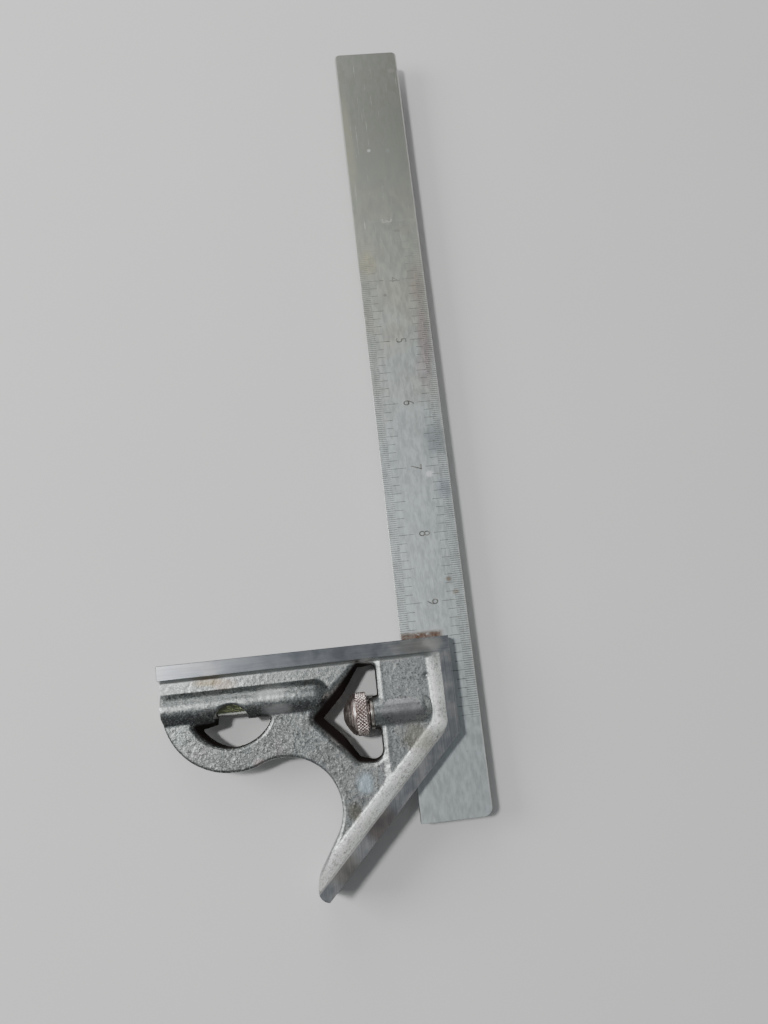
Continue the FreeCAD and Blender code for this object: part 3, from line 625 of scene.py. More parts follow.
def cast_outline(margin=0.8, far=80.0):
    """The cast sides of the head as drawn, with the machined sides stood off."""
    throat_radius = math.dist(LOBE, THROAT) - LOBE_RADIUS
    towards = math.atan2(THROAT[1] - LOBE[1], THROAT[0] - LOBE[0])
    left_y = LOBE[1] - math.sqrt(LOBE_RADIUS**2 - (HEAD_LEFT - LOBE[0]) ** 2)
    lobe_start = math.atan2(left_y - LOBE[1], HEAD_LEFT - LOBE[0])
    outward = np.array((math.sin(ARM_SLOPE), -math.cos(ARM_SLOPE)))
    along = np.array((-math.cos(ARM_SLOPE), -math.sin(ARM_SLOPE)))
    arm_start = np.array(THROAT) + outward * throat_radius
    offset = arm_start + outward * TIP_SIDE_RADIUS - np.array(TIP)
    reach = offset @ along
    gap = (TIP_SIDE_RADIUS - TIP_RADIUS) ** 2
    travel = -reach - math.sqrt(reach**2 - offset @ offset + gap)
    side_centre = arm_start + outward * TIP_SIDE_RADIUS + along * travel
    side_start = math.atan2(-outward[1], -outward[0])
    to_tip = np.array(TIP) - side_centre
    side_end = math.atan2(to_tip[1], to_tip[0]) % math.tau
    points = [(HEAD_LEFT - margin, far), (HEAD_LEFT - margin, left_y), (HEAD_LEFT, left_y)]
    points += arc(LOBE, LOBE_RADIUS, lobe_start, towards)[1:]
    arm_turn = math.atan2(outward[1], outward[0])
    points += arc(THROAT, throat_radius, towards + math.pi, arm_turn)
    points += arc(side_centre, TIP_SIDE_RADIUS, side_start, side_end)
    points += arc(TIP, TIP_RADIUS, side_end, math.radians(315))[1:]
    x, y = points[-1]
    points += [(x + far, y + far), (x + far, far * 2), (HEAD_LEFT - margin, far * 2)]
    return points


def rounded(corners):
    """A polygon of (x, y, radius) corners with each corner rounded."""
    points = []
    count = len(corners)
    for i, (x, y, radius) in enumerate(corners):
        here = np.array((x, y))
        before = np.array(corners[i - 1][:2]) - here
        after = np.array(corners[(i + 1) % count][:2]) - here
        before, after = before / np.linalg.norm(before), after / np.linalg.norm(after)
        half = math.acos(float(np.clip(before @ after, -1, 1))) / 2
        middle = (before + after) / np.linalg.norm(before + after)
        centre = here + middle * radius / math.sin(half)
        first = here + before * radius / math.tan(half) - centre
        last = here + after * radius / math.tan(half) - centre
        start, end = math.atan2(first[1], first[0]), math.atan2(last[1], last[0])
        turn = (end - start + math.pi) % math.tau - math.pi
        points += arc(centre, radius, start, start + turn, 0.3)
    return points


def sight_outline(corner=1.5):
    """The sight window: a circle about the lobe's centre, cut off level at its top."""
    drop = LOBE[1] - SIGHT_TOP
    reach = math.sqrt((SIGHT_RADIUS - corner) ** 2 - (drop + corner) ** 2)
    centre_y = SIGHT_TOP - corner
    swing = math.atan2(drop + corner, reach)
    left = (LOBE[0] - reach, centre_y)
    right = (LOBE[0] + reach, centre_y)
    points = arc(left, corner, math.pi / 2, math.pi + swing, 0.3)
    points += arc(LOBE, SIGHT_RADIUS, math.pi + swing, math.tau - swing)
    points += arc(right, corner, -swing, math.pi / 2, 0.3)
    return points


def signed_distance(x, y, polygon):
    """Distance from each place to the polygon's edge, positive inside it."""
    nearest = np.full(x.shape, np.inf)
    inside = np.zeros(x.shape, bool)
    for (ax, ay), (bx, by) in zip(polygon, polygon[1:] + polygon[:1]):
        ex, ey = bx - ax, by - ay
        size = ex * ex + ey * ey
        if size < 1e-12:
            continue
        part = np.clip(((x - ax) * ex + (y - ay) * ey) / size, 0, 1)
        nearest = np.minimum(nearest, (x - ax - part * ex) ** 2 + (y - ay - part * ey) ** 2)
        if ey != 0:
            crossed = ((y >= ay) != (y >= by)) & (x < ax + (y - ay) * ex / ey)
            inside ^= crossed
    return np.where(inside, 1, -1) * np.sqrt(nearest)


# ---- head surface


def soft_max(first, second, reach):
    """The larger of two fields, blended where they are within reach of each other."""
    part = np.clip(0.5 + 0.5 * (first - second) / reach, 0, 1)
    return second + (first - second) * part + reach * part * (1 - part)


def soft_min(first, second, reach):
    return -soft_max(-first, -second, reach)


def step(value):
    """A smooth step from 0 to 1."""
    value = np.clip(value, 0, 1)
    return value * value * (3 - 2 * value)


def spline_weights(count, period):
    """Cubic B-spline weights that spread a coarse lattice over count places."""
    place = np.arange(count) / period + 1
    base = np.floor(place).astype(int)
    f = place - base
    weights = np.zeros((count, int(count / period) + 5), np.float32)
    row = np.arange(count)
    weights[row, base - 1] = (1 - f) ** 3 / 6
    weights[row, base] = (3 * f**3 - 6 * f**2 + 4) / 6
    weights[row, base + 1] = (-3 * f**3 + 3 * f**2 + 3 * f + 1) / 6
    weights[row, base + 2] = f**3 / 6
    return weights


def lattice_noise(random, shape, period):
    """Smooth seeded noise of unit spread on a grid; period is in grid steps."""
    weights = [spline_weights(count, period) for count in shape]
    values = random.standard_normal([w.shape[1] for w in weights]).astype(np.float32)
    for axis, weight in enumerate(weights):
        values = np.moveaxis(np.tensordot(weight, values, axes=(1, axis)), 0, axis)
    return values / values.std()


def stacked(values):
    """A map made ready to spread over the grid's heights."""
    return values[..., None].astype(np.float32)


class HeadShape:
    """The cast head as a field on a grid: negative inside the metal."""

    CELL = 0.32
    BORDER = 2.0
    ROUND = 0.9
    OVERSIZE = 1.0
    SQUARE_STEEPNESS = 5.0
    CORNER_BLEND = 5.3
    MITRE_BLEND = 1.6
    BLOCK_RAMP = 2.6
    LIP_RISE = 0.08
    # The small pit: its place and depth.
    PIT = (-5.3, 50.3, 0.6)
    # The windows' sloping walls: rate, the x where it starts, least and most.
    FINGER_SLOPE = (0.32, -22.5, 0.0, 4.2)
    SIGHT_SLOPE = (0.22, -73.0, 0.4, 3.4)

    def __init__(self):
        self.low = np.array((HEAD_LEFT, TIP[1] - TIP_RADIUS, 0.0)) - self.BORDER
        self.high = np.array((HEAD_RIGHT, SQUARE_FACE, HEAD_TOP)) + self.BORDER
        axes = [np.arange(a, b, self.CELL) for a, b in zip(self.low, self.high)]
        self.axes = axes
        x, y = np.meshgrid(axes[0], axes[1], indexing="ij")
        self.rim = self.rim_distance(x, y)
        self.finger = signed_distance(x, y, rounded(FINGER_CORNERS))
        self.sight = signed_distance(x, y, sight_outline())
        self.half = self.half_thickness(x, y)
        outline = signed_distance(x, y, cast_outline())
        notch = NOTCH[2] - np.hypot(x - NOTCH[0], y - NOTCH[1])
        window = np.maximum(self.finger, self.sight)
        self.window = np.maximum(window, notch)
        slopes = (self.FINGER_SLOPE, self.SIGHT_SLOPE)
        finger, sight = (np.clip(rate * (at - x), low, high) for rate, at, low, high in slopes)
        self.bevel = np.where(self.finger > self.sight, finger, sight)
        shape = tuple(len(a) for a in axes)
        self.noise = self.make_noise(shape)
        self.field = self.make_field(x, y, outline, shape)

    def rim_distance(self, x, y):
        """Distance from the rims' inner edges, positive over the web."""
        square = (SQUARE_RIM_EDGE - y) * self.SQUARE_STEEPNESS
        side = SIDE_RIM_EDGE - x
        mitre = (y - x - MITRE_RIM_EDGE) / math.sqrt(2)
        return soft_min(soft_min(square, side, self.CORNER_BLEND), mitre, self.MITRE_BLEND)

    def half_thickness(self, x, y):
        web = WEB_HALF + BLOCK_RISE * step((x - BLOCK_LEFT) / self.BLOCK_RAMP + 0.5)
        lip = np.exp(-((self.finger + 1.3) ** 2) / 1.2) * step((x + 27.0) / 3.0) * self.LIP_RISE
        pit_x, pit_y, depth = self.PIT
        pit = np.exp(-((x - pit_x) ** 2 + (y - pit_y) ** 2) / 0.5) * depth
        web = web + lip - pit
        cove = (MIDDLE - web) * np.clip(1 - self.rim / COVE_REACH, 0, 1) ** COVE_POWER
        beyond = np.maximum(x - VIAL_BOSS_DOME, 0)
        ridge = VIAL_BOSS_RADIUS**2 - (y - VIAL_Y) ** 2 - beyond**2
        half = soft_max(web + cove, np.sqrt(np.clip(ridge, 0, None)), 0.9)
        return np.where(self.rim < 0, MIDDLE + self.OVERSIZE, half)

    def make_noise(self, shape):
        random = np.random.default_rng(7)
        cell = self.CELL
        fine = lattice_noise(random, shape, 0.5 / cell)
        coarse = lattice_noise(random, shape, 1.2 / cell)
        broad = lattice_noise(random, shape, 6.0 / cell)
        self.speckle = fine
        return 0.013 * fine + 0.004 * coarse + 0.02 * broad

    def make_field(self, x, y, outline, shape):
        x, y = stacked(x), stacked(y)
        z = self.axes[2][None, None, :].astype(np.float32)
        field = np.abs(z - MIDDLE) - stacked(self.half)
        depth = np.clip(1 - np.abs(z - MIDDLE) / WEB_HALF, 0, 1)
        field = soft_max(field, stacked(self.window) - stacked(self.bevel) * depth, self.ROUND)
        field = soft_max(field, -stacked(outline), self.ROUND)
        smooth = step(self.rim / COVE_REACH) * 0.65 + 0.35
        field = field + self.noise * stacked(smooth)
        cap = np.maximum(x - CLAMP_BOSS_CAP, 0) * 1.29
        boss = np.sqrt((y - CLAMP_Y) ** 2 + (z - MIDDLE) ** 2 + cap**2) - CLAMP_BOSS_RADIUS
        boss = np.maximum(boss, CLAMP_BOSS_LEFT - 1.5 - x) + self.noise * 0.2
        field = soft_min(field, boss, 0.8)
        for side in (x - self.high[0], y - self.high[1], self.low[0] - x):
            field = np.maximum(field, side + 0.8)
        return field.astype(np.float32)

    def sample(self, values, points):
        """Values of a map at drawing-frame points, between its grid places."""
        result = 0
        place = (points[:, :2] - self.low[:2]) / self.CELL
        base = np.clip(np.floor(place).astype(int), 0, np.array(values.shape) - 2)
        part = np.clip(place - base, 0, 1)
        for i in (0, 1):
            for j in (0, 1):
                wx = part[:, 0] if i else 1 - part[:, 0]
                wy = part[:, 1] if j else 1 - part[:, 1]
                result = result + values[base[:, 0] + i, base[:, 1] + j] * wx * wy
        return result

    def cove_light(self, points):
        """Where the painted highlight goes: 1 on the smooth coves of the side and mitre rims, 0 on
        the open web.
        """
        x, y = points[:, 0], points[:, 1]
        side = SIDE_RIM_EDGE - x
        mitre = (y - x - MITRE_RIM_EDGE) / math.sqrt(2)
        away = soft_min(side, mitre, self.MITRE_BLEND)
        return step((4.6 - away) / 2.6) * (y < SQUARE_RIM_EDGE)

    def under_bosses(self, points):
        """Where the painted shade goes: 1 on the lower flanks of the two bosses, 0 elsewhere."""
        x, y, z = points.T
        level = (VIAL_Y - 1.2 - y) / 2.4
        level = step(level) * step((y - VIAL_Y + VIAL_BOSS_RADIUS + 0.2) / 0.8) * (x < -38.5)
        level = level * (self.sample(self.window, points) < -0.2)
        clamp = step((CLAMP_Y + 3.2 - y) / 4.0) * step((y - CLAMP_Y + CLAMP_BOSS_RADIUS) / 0.8)
        clamp = clamp * (x > CLAMP_BOSS_LEFT) * step((-2.8 - x) / 1.5)
        return np.maximum(level, clamp)

    def grain(self, points):
        """The noise at the nearest grid place, in units of its spread."""
        place = np.rint((points - self.low) / self.CELL).astype(int)
        place = np.clip(place, 0, np.array(self.speckle.shape) - 1)
        return self.speckle[place[:, 0], place[:, 1], place[:, 2]] / self.speckle.std()


def without_ambiguity(field):
    """Fills the few grid squares whose corners are inside and outside crosswise."""
    for _ in range(12):
        found = 0
        for axis in range(3):
            u, v = (axis + 1) % 3, (axis + 2) % 3
            corners = []
            for du, dv in ((0, 0), (1, 0), (1, 1), (0, 1)):
                place = [slice(None)] * 3
                place[u] = slice(du, field.shape[u] - 1 + du)
                place[v] = slice(dv, field.shape[v] - 1 + dv)
                corners.append(field[tuple(place)])
            a, b, c, d = (corner < 0 for corner in corners)
            one, two = a & c & ~b & ~d, b & d & ~a & ~c
            found += int(one.sum() + two.sum())
            corners[1][one] = -0.01
            corners[0][two] = -0.01
        if found == 0:
            break
    return field


def surface_of(field, low, cell):
    """Surface nets: one point in each grid cell that the surface crosses, and its quads."""
    shape = np.array(field.shape) - 1
    total = int(np.prod(shape))
    strides = np.array((shape[1] * shape[2], shape[2], 1))
    inside = field < 0
    sums = np.zeros((3, total))
    count = np.zeros(total)
    quads = []
    for axis in range(3):
        first, second = [slice(None)] * 3, [slice(None)] * 3
        first[axis], second[axis] = slice(0, -1), slice(1, None)
        crossed = inside[tuple(first)] != inside[tuple(second)]
        index = np.array(np.nonzero(crossed))
        start, end = field[tuple(first)][crossed], field[tuple(second)][crossed]
        place = index.astype(float)
        place[axis] += start / (start - end)
        u, v = (axis + 1) % 3, (axis + 2) % 3
        around = []
        for du, dv in ((-1, -1), (0, -1), (0, 0), (-1, 0)):
            cell_index = index.copy()
            cell_index[u] += du
            cell_index[v] += dv
            flat = (cell_index * strides[:, None]).sum(0)
            around.append(flat)
            count += np.bincount(flat, minlength=total)
            for k in range(3):
                sums[k] += np.bincount(flat, place[k], minlength=total)
        quad = np.array(around).T
        flip = start >= 0
        quad[flip] = quad[flip][:, ::-1]
        quads.append(quad)
    used = np.nonzero(count)[0]
    order = np.full(total, -1)
    order[used] = np.arange(len(used))
    points = (sums[:, used] / count[used]).T * cell + low
    return points, order[np.concatenate(quads)]


# ---- head pieces


def machined_envelope(chamfer=0.22):
    """The convex solid whose faces are the head's machined faces, edges just broken."""
    def outline(inset):
        line = MITRE_CORNER - HEAD_RIGHT + inset * math.sqrt(2)
        left, right, top = HEAD_LEFT + inset, HEAD_RIGHT - inset, SQUARE_FACE - inset
        low = TIP[1] - TIP_RADIUS - 1.0 + inset
        return [(left, low), (low - line, low), (right, right + line), (right, top), (left, top)]

    outlines = [outline(chamfer), outline(0.0), outline(0.0), outline(chamfer)]
    return prism("envelope", outlines, [0.0, chamfer, HEAD_TOP - chamfer, HEAD_TOP])


def store(mesh, name, values):
    layer = mesh.attributes.new(name, "FLOAT", "POINT")
    layer.data.foreach_set("value", np.asarray(values, np.float32))


def read(items, name):
    """A three-number property of every point or face, one row for each."""
    values = np.zeros(len(items) * 3, np.float32)
    items.foreach_get(name, values)
    return values.reshape(-1, 3)


def to_drawing(points):
    """Points in the row frame, in metres, to drawing-frame millimetres."""
    return (points.astype(float) - ORIGIN) / MM


def face_table(mesh):
    """Centres in drawing-frame millimetres and normals of the mesh's faces."""
    return to_drawing(read(mesh.polygons, "center")).T, read(mesh.polygons, "normal").T


def points_of(mesh):
    return to_drawing(read(mesh.vertices, "co"))


def on_plane(distance, facing):
    return (np.abs(distance) < 0.004) & (np.abs(facing) > 0.999)


def on_bore(centres, normals, axis_y, radius, low_x, high_x):
    """Faces of a bore along x: on its wall, and facing its axis."""
    x, y, z = centres
    away = np.hypot(y - axis_y, z - MIDDLE)
    wall = (np.abs(away - radius) < 0.04) & (np.abs(normals[0]) < 0.05)
    facing = (y - axis_y) * normals[1] + (z - MIDDLE) * normals[2]
    return wall & (facing < -0.97 * radius) & (x > low_x) & (x < high_x)


def sort_head_faces(mesh):
    """Gives each face of the head its finish: 0 as cast, 1 ground, 2 bored or slotted."""
    centres, normals = face_table(mesh)
    x, y, z = centres
    mitre = (y - x - MITRE_CORNER + HEAD_RIGHT) / math.sqrt(2)
    mitre_facing = (normals[0] - normals[1]) / math.sqrt(2)
    planes = (
        (z, normals[2]),
        (HEAD_TOP - z, normals[2]),
        (HEAD_RIGHT - x, normals[0]),
        (SQUARE_FACE - y, normals[1]),
        (mitre, mitre_facing),
        (x - HEAD_LEFT, normals[0]),
    )
    ground = on_plane(x - CLAMP_BOSS_LEFT, normals[0])
    near = np.zeros(len(x), int)
    for distance, facing in planes:
        ground |= on_plane(distance, facing)
        near += distance < 0.2
    ground |= near > 1
    slot = on_plane(z - SLOT_LOW, normals[2]) | on_plane(z - SLOT_HIGH, normals[2])
    slot &= x > SLOT_LEFT - 0.01
    slot |= on_plane(x - SLOT_LEFT, normals[0])
    bores = on_bore(centres, normals, CLAMP_Y, CLAMP_BORE_RADIUS, CLAMP_BORE_LEFT, HEAD_RIGHT)
    bores |= on_bore(centres, normals, CLAMP_Y, SHANK_HOLE_RADIUS, CLAMP_BOSS_LEFT, CLAMP_BORE_LEFT)
    bores |= on_bore(centres, normals, VIAL_Y, VIAL_BORE_RADIUS, HEAD_LEFT, VIAL_BORE_END)
    finish = np.where(ground, 1, 0)
    finish[slot | bores] = 2
    mesh.polygons.foreach_set("material_index", finish.astype(np.int32))


def crisp_between_materials(mesh, degrees):
    """Smooth faces, with crisp edges between materials and at sharp machined corners."""
    mesh.shade_smooth()
    work = bmesh.new()
    work.from_mesh(mesh)
    limit = math.radians(degrees)
    for edge in work.edges:
        faces = edge.link_faces
        if len(faces) != 2:
            continue
        one, two = faces
        if one.material_index != two.material_index:
            edge.smooth = False
        elif one.material_index and one.normal.angle(two.normal, 0.0) > limit:
            edge.smooth = False
    work.to_mesh(mesh)
    work.free()


def make_head(cast, ground, dark):
    shape = HeadShape()
    points, quads = surface_of(without_ambiguity(shape.field), shape.low, shape.CELL)
    head = mesh_from("cast_head", points, quads.tolist())
    head.data.validate()
    envelope = machined_envelope()
    slot = block(
        "slot",
        (SLOT_LEFT, TIP[1], SLOT_LOW),
        (HEAD_RIGHT + 3.0, SQUARE_FACE + 4.0, SLOT_HIGH),
    )
    boss_face = block(
        "boss_face",
        (CLAMP_BOSS_LEFT - 3.0, CLAMP_Y - 7.5, MIDDLE - 7.5),
        (CLAMP_BOSS_LEFT, CLAMP_Y + 7.5, MIDDLE + 7.5),
    )
    right, left = HEAD_RIGHT + 1.0, CLAMP_BOSS_LEFT - 1.0
    clamp_profile = [(left, 0), (left, SHANK_HOLE_RADIUS), (CLAMP_BORE_LEFT, SHANK_HOLE_RADIUS)]
    clamp_profile += [(CLAMP_BORE_LEFT, CLAMP_BORE_RADIUS), (right, CLAMP_BORE_RADIUS), (right, 0)]
    clamp_bore = lathe("clamp_bore", clamp_profile, CLAMP_Y)
    outside, end, radius = HEAD_LEFT - 1.0, VIAL_BORE_END, VIAL_BORE_RADIUS
    vial_profile = [(outside, 0), (outside, radius), (end, radius), (end, 0)]
    vial_bore = lathe("vial_bore", vial_profile, VIAL_Y)
    combine(head, envelope, "INTERSECT")
    for tool in (slot, boss_face, clamp_bore, vial_bore):
        combine(head, tool, "DIFFERENCE")
    mesh = head.data
    where = points_of(mesh)
    deep = shape.sample(shape.half, where) - np.abs(where[:, 2] - MIDDLE)
    near = shape.sample(np.maximum(shape.finger, shape.sight), where)
    # Masks for the cast colour: painted shade on the window walls and the bosses' lower flanks,
    # painted highlight on the coves, and the grain's relief.
    store(mesh, "wall", step((deep - 0.3) / 1.2) * step((near + 1.0) / 0.5))
    store(mesh, "grain", shape.grain(where))
    store(mesh, "cove", shape.cove_light(where))
    store(mesh, "under", shape.under_bosses(where))
    sort_head_faces(mesh)
    crisp_between_materials(mesh, 30)
    finish_piece(head, "head", "head_casting", [cast, ground, dark])


# ---- blade


def blade_outline(inset):
    """The blade's outline: two small upper corners, one worn lower corner, one crisp."""
    left, right = -BLADE_HALF + inset, BLADE_HALF - inset
    low, high = inset, BLADE_LENGTH - inset
    points = []
    for x, y, radius, start in (
        (left, low, 0.5, math.pi),
        (right, low, 3.2, -math.pi / 2),
        (right, high, 2.0, 0.0),
        (left, high, 2.0, math.pi / 2),
    ):
        r = radius - inset
        centre = (x + (r if x < 0 else -r), y + (r if y < BLADE_LENGTH / 2 else -r))
        turned = np.linspace(start, start + math.pi / 2, 13)
        points += [(centre[0] + r * math.cos(a), centre[1] + r * math.sin(a)) for a in turned]
    return points


def wear_at(y):
    """How much of the engraving is left at a height on the blade, from 0 to 1."""
    upper = 1 - float(step((y - WORN_ABOVE) / WORN_ABOVE_REACH))
    lower = float(step((y - WORN_BELOW) / WORN_BELOW_REACH))
    return upper * lower


def tick_boxes(side, lengths, depth=0.07, width=0.2):
    """Low and high corners of the graduations along one edge of the blade."""
    boxes = []
    for count in range(8, 12 * TICKS_PER_INCH):
        y = BLADE_LENGTH - count * INCH / TICKS_PER_INCH
        left = wear_at(y)
        if left < 0.12:
            continue
        size = lengths[0]
        for step_count, length in ((4, lengths[1]), (16, lengths[2]), (32, lengths[3])):
            if count % step_count == 0:
                size = length
        half = width / 2 * (0.6 + 0.4 * left)
        ends = sorted((side * (BLADE_HALF + 0.5), side * (BLADE_HALF - size)))
        floor = BLADE_HIGH - depth * (0.35 + 0.65 * left)
        boxes.append(((ends[0], y - half, floor), (ends[1], y + half, BLADE_HIGH + 0.5)))
    return boxes


def many_boxes(name, boxes):
    points, faces = [], []
    sides = ((0, 3, 2, 1), (4, 5, 6, 7), (0, 1, 5, 4), (1, 2, 6, 5), (2, 3, 7, 6), (3, 0, 4, 7))
    for low, high in boxes:
        base = len(points)
        for z in (low[2], high[2]):
            points += [(x, y, z) for x, y in rectangle(low, high)]
        faces += [tuple(base + i for i in side) for side in sides]
    return mesh_from(name, points, faces)


def numeral(number, height=4.3, narrow=0.8, centre_x=0.4, depth=0.06):
    """One engraved numeral, read with the right-hand edge of the blade uppermost."""
    data = bpy.data.curves.new(f"numeral_{number}", "FONT")
    data.body = str(number)
    data.align_x = "CENTER"
    data.align_y = "CENTER"
    data.size = height * DIGIT_SCALE * MM
    data.extrude = 0.5 * MM
    data.resolution_u = 4
    text = link(bpy.data.objects.new(data.name, data))
    graph = bpy.context.evaluated_depsgraph_get()
    mesh = bpy.data.meshes.new_from_object(text.evaluated_get(graph))
    bpy.data.objects.remove(text)
    piece = link(bpy.data.objects.new(f"cut_{number}", mesh))
    work = bmesh.new()
    work.from_mesh(mesh)
    bmesh.ops.remove_doubles(work, verts=work.verts, dist=1e-7)
    bmesh.ops.recalc_face_normals(work, faces=work.faces)
    y = BLADE_LENGTH - number * INCH
    floor = BLADE_HIGH - depth * max(0.4, wear_at(y))
    for vertex in work.verts:
        across, up, rise = vertex.co / MM
        place = to_row((centre_x + up, y - across * narrow, floor + 0.5 + rise))
        vertex.co = place
    work.to_mesh(mesh)
    work.free()
    return piece


def sort_blade_faces(mesh):
    """Gives each face of the blade its finish: 0 steel, 1 engraving, 2 the back groove."""
    (x, y, z), normals = face_table(mesh)
    shallow = (z > BLADE_HIGH - 0.1) & (z < BLADE_HIGH - 0.002)
    square = (np.abs(normals[2]) > 0.99) | (np.abs(normals[2]) < 0.02)
    groove = (z > BLADE_LOW + 0.01) & (z < BLADE_LOW + GROOVE_DEPTH + 0.01)
    groove &= (np.abs(x) < GROOVE_HALF + 0.01) & (y > 0.3) & (y < BLADE_LENGTH - 0.3)
    finish = np.where(shallow & square, 1, 0)
    finish[groove] = 2
    mesh.polygons.foreach_set("material_index", finish.astype(np.int32))


def make_blade(steel, fill, back_fill):
    bevel = 0.18
    outlines = [blade_outline(bevel), blade_outline(0.0), blade_outline(0.0), blade_outline(bevel)]
    heights = [BLADE_LOW, BLADE_LOW + bevel, BLADE_HIGH - bevel, BLADE_HIGH]
    blade = prism("graduated_blade", outlines, heights)
    half, floor = GROOVE_HALF, BLADE_LOW + GROOVE_DEPTH
    groove = block("groove", (-half, -2.0, BLADE_LOW - 1.0), (half, BLADE_LENGTH + 2.0, floor))
    ticks = tick_boxes(-1, (3.5, 6.4, 7.8, 9.3)) + tick_boxes(1, (3.7, 6.7, 7.6, 8.6))
    marks = many_boxes("marks", ticks)
    combine(blade, groove, "DIFFERENCE")
    combine(blade, marks, "DIFFERENCE")
    for number in NUMERALS:
        combine(blade, numeral(number), "DIFFERENCE")
    sort_blade_faces(blade.data)
    finish_piece(blade, "blade", "blade", [steel, fill, back_fill], 25)


# ---- clamp


def knurl_height(x, turned):
    """Height of a diamond knurl, from 0 in the grooves to 1 on the points."""
    around = turned * KNURL_COUNT / math.tau
    pitch = NUT_RADIUS * math.tau / KNURL_COUNT
    one = (around + x / pitch) % 1.0
    two = (around - x / pitch) % 1.0
    return np.minimum(1 - np.abs(2 * one - 1), 1 - np.abs(2 * two - 1)) * 1.6


def nut_dome():
    """The nut's nose: a flat tip and a dome with two shallow turned grooves."""
    tip, start, length = -35.65, -35.5, 2.9
    small, swell = 1.95, 4.9
    profile = [(tip, 0), (tip, 1.5), (start, small)]
    for part in np.linspace(0.1, 1.0, 24):
        radius = small + swell * part**0.75
        groove = 0.0
        for place, depth in ((0.35, 0.12), (0.68, 0.1)):
            groove += depth * math.exp(-((part - place) / 0.05) ** 2)
        profile.append((start + length * part, radius - groove))
    return profile


def make_nut(steel):
    depth, left, right = KNURL_DEPTH, -31.2, -27.25
    low = NUT_RADIUS - depth

    def ripple(x, turned):
        if x < left + 0.15 or x > right - 0.2:
            return 0 * turned
        return np.clip(knurl_height(x, turned), 0, 1) * depth

    profile = nut_dome()
    profile += [(-32.5, 6.7), (-32.4, 6.65), (-32.2, 7.0), (-32.05, 7.2)]
    profile += [(-31.4, 7.25), (-31.35, 6.95), (left, low)]
    profile += [(x, low) for x in np.linspace(left + 0.15, right - 0.2, 40)]
    profile += [(right, low), (right + 0.15, low - 0.5), (right + 0.2, 4.9), (right + 0.3, 4.6)]
    profile += [(-26.5, 4.6), (-26.35, 4.45), (-26.35, 2.5), (-34.6, 2.5), (-34.6, 0)]
    nut = lathe("knurled_nut", profile, CLAMP_Y, KNURL_COUNT * 10, ripple)
    where = points_of(nut.data)
    away = np.hypot(where[:, 1] - CLAMP_Y, where[:, 2] - MIDDLE)
    band = (where[:, 0] > left) & (where[:, 0] < right) & (away > low - 0.1)
    store(nut.data, "knurl", np.where(band, (away - low) / depth, 1.0))
    finish_piece(nut, "nut", "clamp_nut", [steel], 50)


def rounded_ring(left, right, inner, outer, soft):
    """The closed profile of a ring whose outer edges are rounded."""
    profile = [(left, inner)]
    bends = [
        (soft * (1 - math.cos(a)), soft * (1 - math.sin(a))) for a in np.linspace(0, math.pi / 2, 6)
    ]
    profile += [(left + near, outer - far) for near, far in bends]
    profile += [(right - far, outer - near) for near, far in bends]
    return profile + [(right, inner)]


def make_washer(steel):
    washer = lathe("steel_washer", rounded_ring(-26.3, CLAMP_BOSS_LEFT, 2.6, 5.6, 0.3), CLAMP_Y)
    finish_piece(washer, "head", "clamp_washer", [steel], 40)


# ---- level


def make_vial_tube(glass):
    left, right, outer, inner = -93.5, -55.5, 4.0, 3.1
    bend, wall = 1.0, 1.2
    profile = [(left, inner), (left + 0.1, outer - 0.15), (left + 0.4, outer)]
    profile += [(right - bend, outer)]
    for a in np.linspace(0.2, math.pi / 2, 7):
        profile.append((right - bend + math.sin(a), outer - bend + math.cos(a)))
    profile += [(right, 0), (right - wall, 0), (right - wall, inner)]
    tube = lathe("level_tube", profile, VIAL_Y)
    finish_piece(tube, "head", "vial_tube", [glass], 40)


def make_end_plug(brass):
    left, right, radius = -98.1, -94.5, VIAL_BORE_RADIUS
    profile = [(left + 0.45, 0), (left + 0.3, 0.5), (left, 0.75), (left, radius - 0.5)]
    profile += [(left + 0.12, radius - 0.15), (left + 0.35, radius), (right, radius), (right, 0)]
    plug = lathe("brass_plug", profile, VIAL_Y)
    finish_piece(plug, "head", "vial_end_plug", [brass], 35)


# ---- stage


def make_camera():
    data = bpy.data.cameras.new("camera")
    data.sensor_width = 36.0
    data.lens = 31.65
    data.clip_start = 0.01
    camera = link(bpy.data.objects.new("camera", data))
    camera.location = (5.78 * MM, -97.56 * MM, 336.76 * MM)
    tilt = (11.841, -2.860, -6.308)
    camera.rotation_euler = Euler([math.radians(a) for a in tilt], "XYZ")
    bpy.context.scene.camera = camera


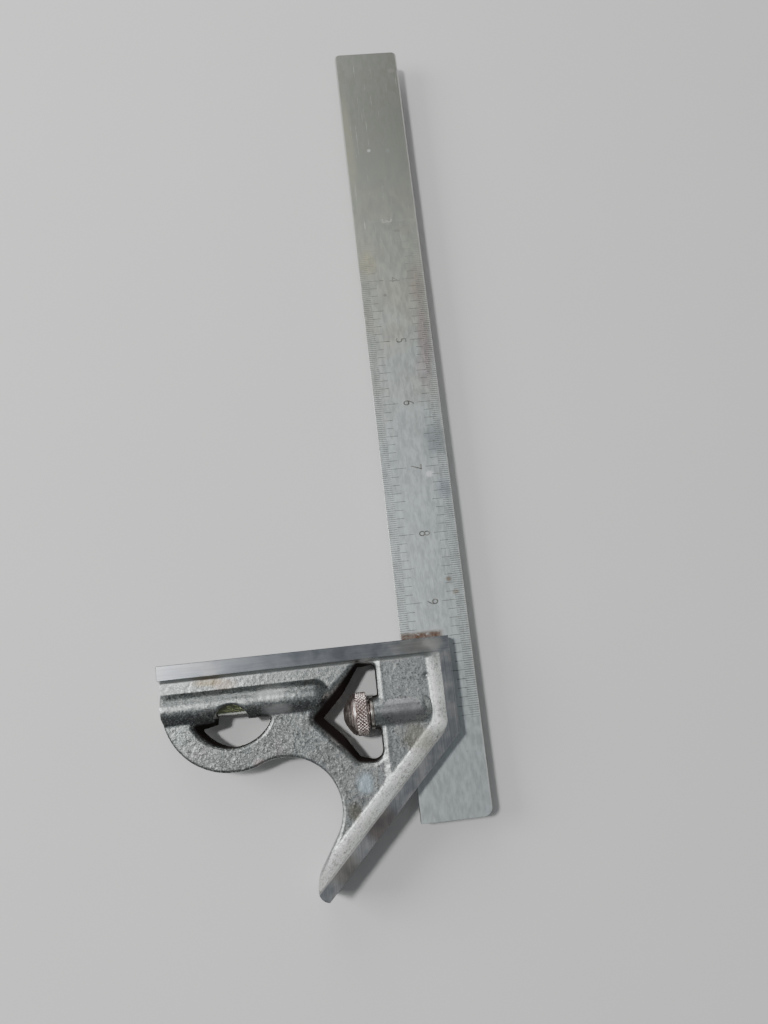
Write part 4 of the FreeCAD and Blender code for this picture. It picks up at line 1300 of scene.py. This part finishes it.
def make_floor():
    mesh = bpy.data.meshes.new("floor")
    reach = 9.0
    corners = [(-reach, -reach, 0), (reach, -reach, 0), (reach, reach, 0), (-reach, reach, 0)]
    mesh.from_pydata(corners, [], [(0, 1, 2, 3)])
    floor = link(bpy.data.objects.new("floor", mesh))
    paint = Paint("floor_paper")
    cloud = paint.noise(60.0, 2.0, 0.5)
    tone = paint.mix(cloud, (0.74, 0.74, 0.73), (0.77, 0.77, 0.76))
    floor.data.materials.append(paint.set(base_color=tone, roughness=0.9))


LIGHT_AIM = (0, -0.09, 0)


def soft_box(name, towards, distance, size, energy):
    data = bpy.data.lights.new(name, "AREA")
    data.energy = energy
    data.size = size
    light = link(bpy.data.objects.new(name, data))
    towards = Vector(towards).normalized()
    light.location = Vector(LIGHT_AIM) + towards * distance
    light.rotation_euler = towards.to_track_quat("Z", "Y").to_euler()


def make_lights():
    soft_box("key", (-0.36, 0.14, 0.92), 2.5, 0.25, 32)
    soft_box("left", (-1.0, 0.3, 0.6), 1.1, 0.6, 8)
    soft_box("far", (-0.2, 1.0, 0.62), 1.1, 0.6, 2.5)
    world = bpy.data.worlds.new("studio")
    world.use_nodes = True
    background = world.node_tree.nodes["Background"]
    background.inputs["Color"].default_value = (0.95, 0.97, 1.0, 1)
    background.inputs["Strength"].default_value = 0.2
    bpy.context.scene.world = world


# ---- build


def paint_node(name, material):
    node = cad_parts[name]
    node.data.materials.clear()
    node.data.materials.append(material)


make_camera()
make_floor()
make_lights()
steel = blade_steel()
dark = bore_metal()
make_head(cast_iron(), ground_iron(), dark)
groove_steel = plain_steel("groove_steel", (0.3, 0.29, 0.27), (0.16, 0.14, 0.12), 0.5, 3.0)
make_blade(steel, graduation_fill(), groove_steel)
make_nut(nut_steel())
make_washer(plain_steel("washer_steel", (0.5, 0.48, 0.45), (0.2, 0.17, 0.15), 0.35, 1.0))
make_vial_tube(vial_glass())
make_end_plug(plug_brass())
bolt_steel = plain_steel("bolt_steel", (0.5, 0.49, 0.47), (0.3, 0.27, 0.24), 0.4, 5.0)
spring_steel = plain_steel("spring_steel", (0.35, 0.33, 0.31), (0.15, 0.13, 0.11), 0.4, 6.0)
paint_node("clamp_bolt", bolt_steel)
paint_node("clamp_spring", spring_steel)
paint_node("vial_liquid", vial_spirit())
paint_node("vial_stopper", vial_seal())
paint_node("vial_bedding", bedding_plaster())
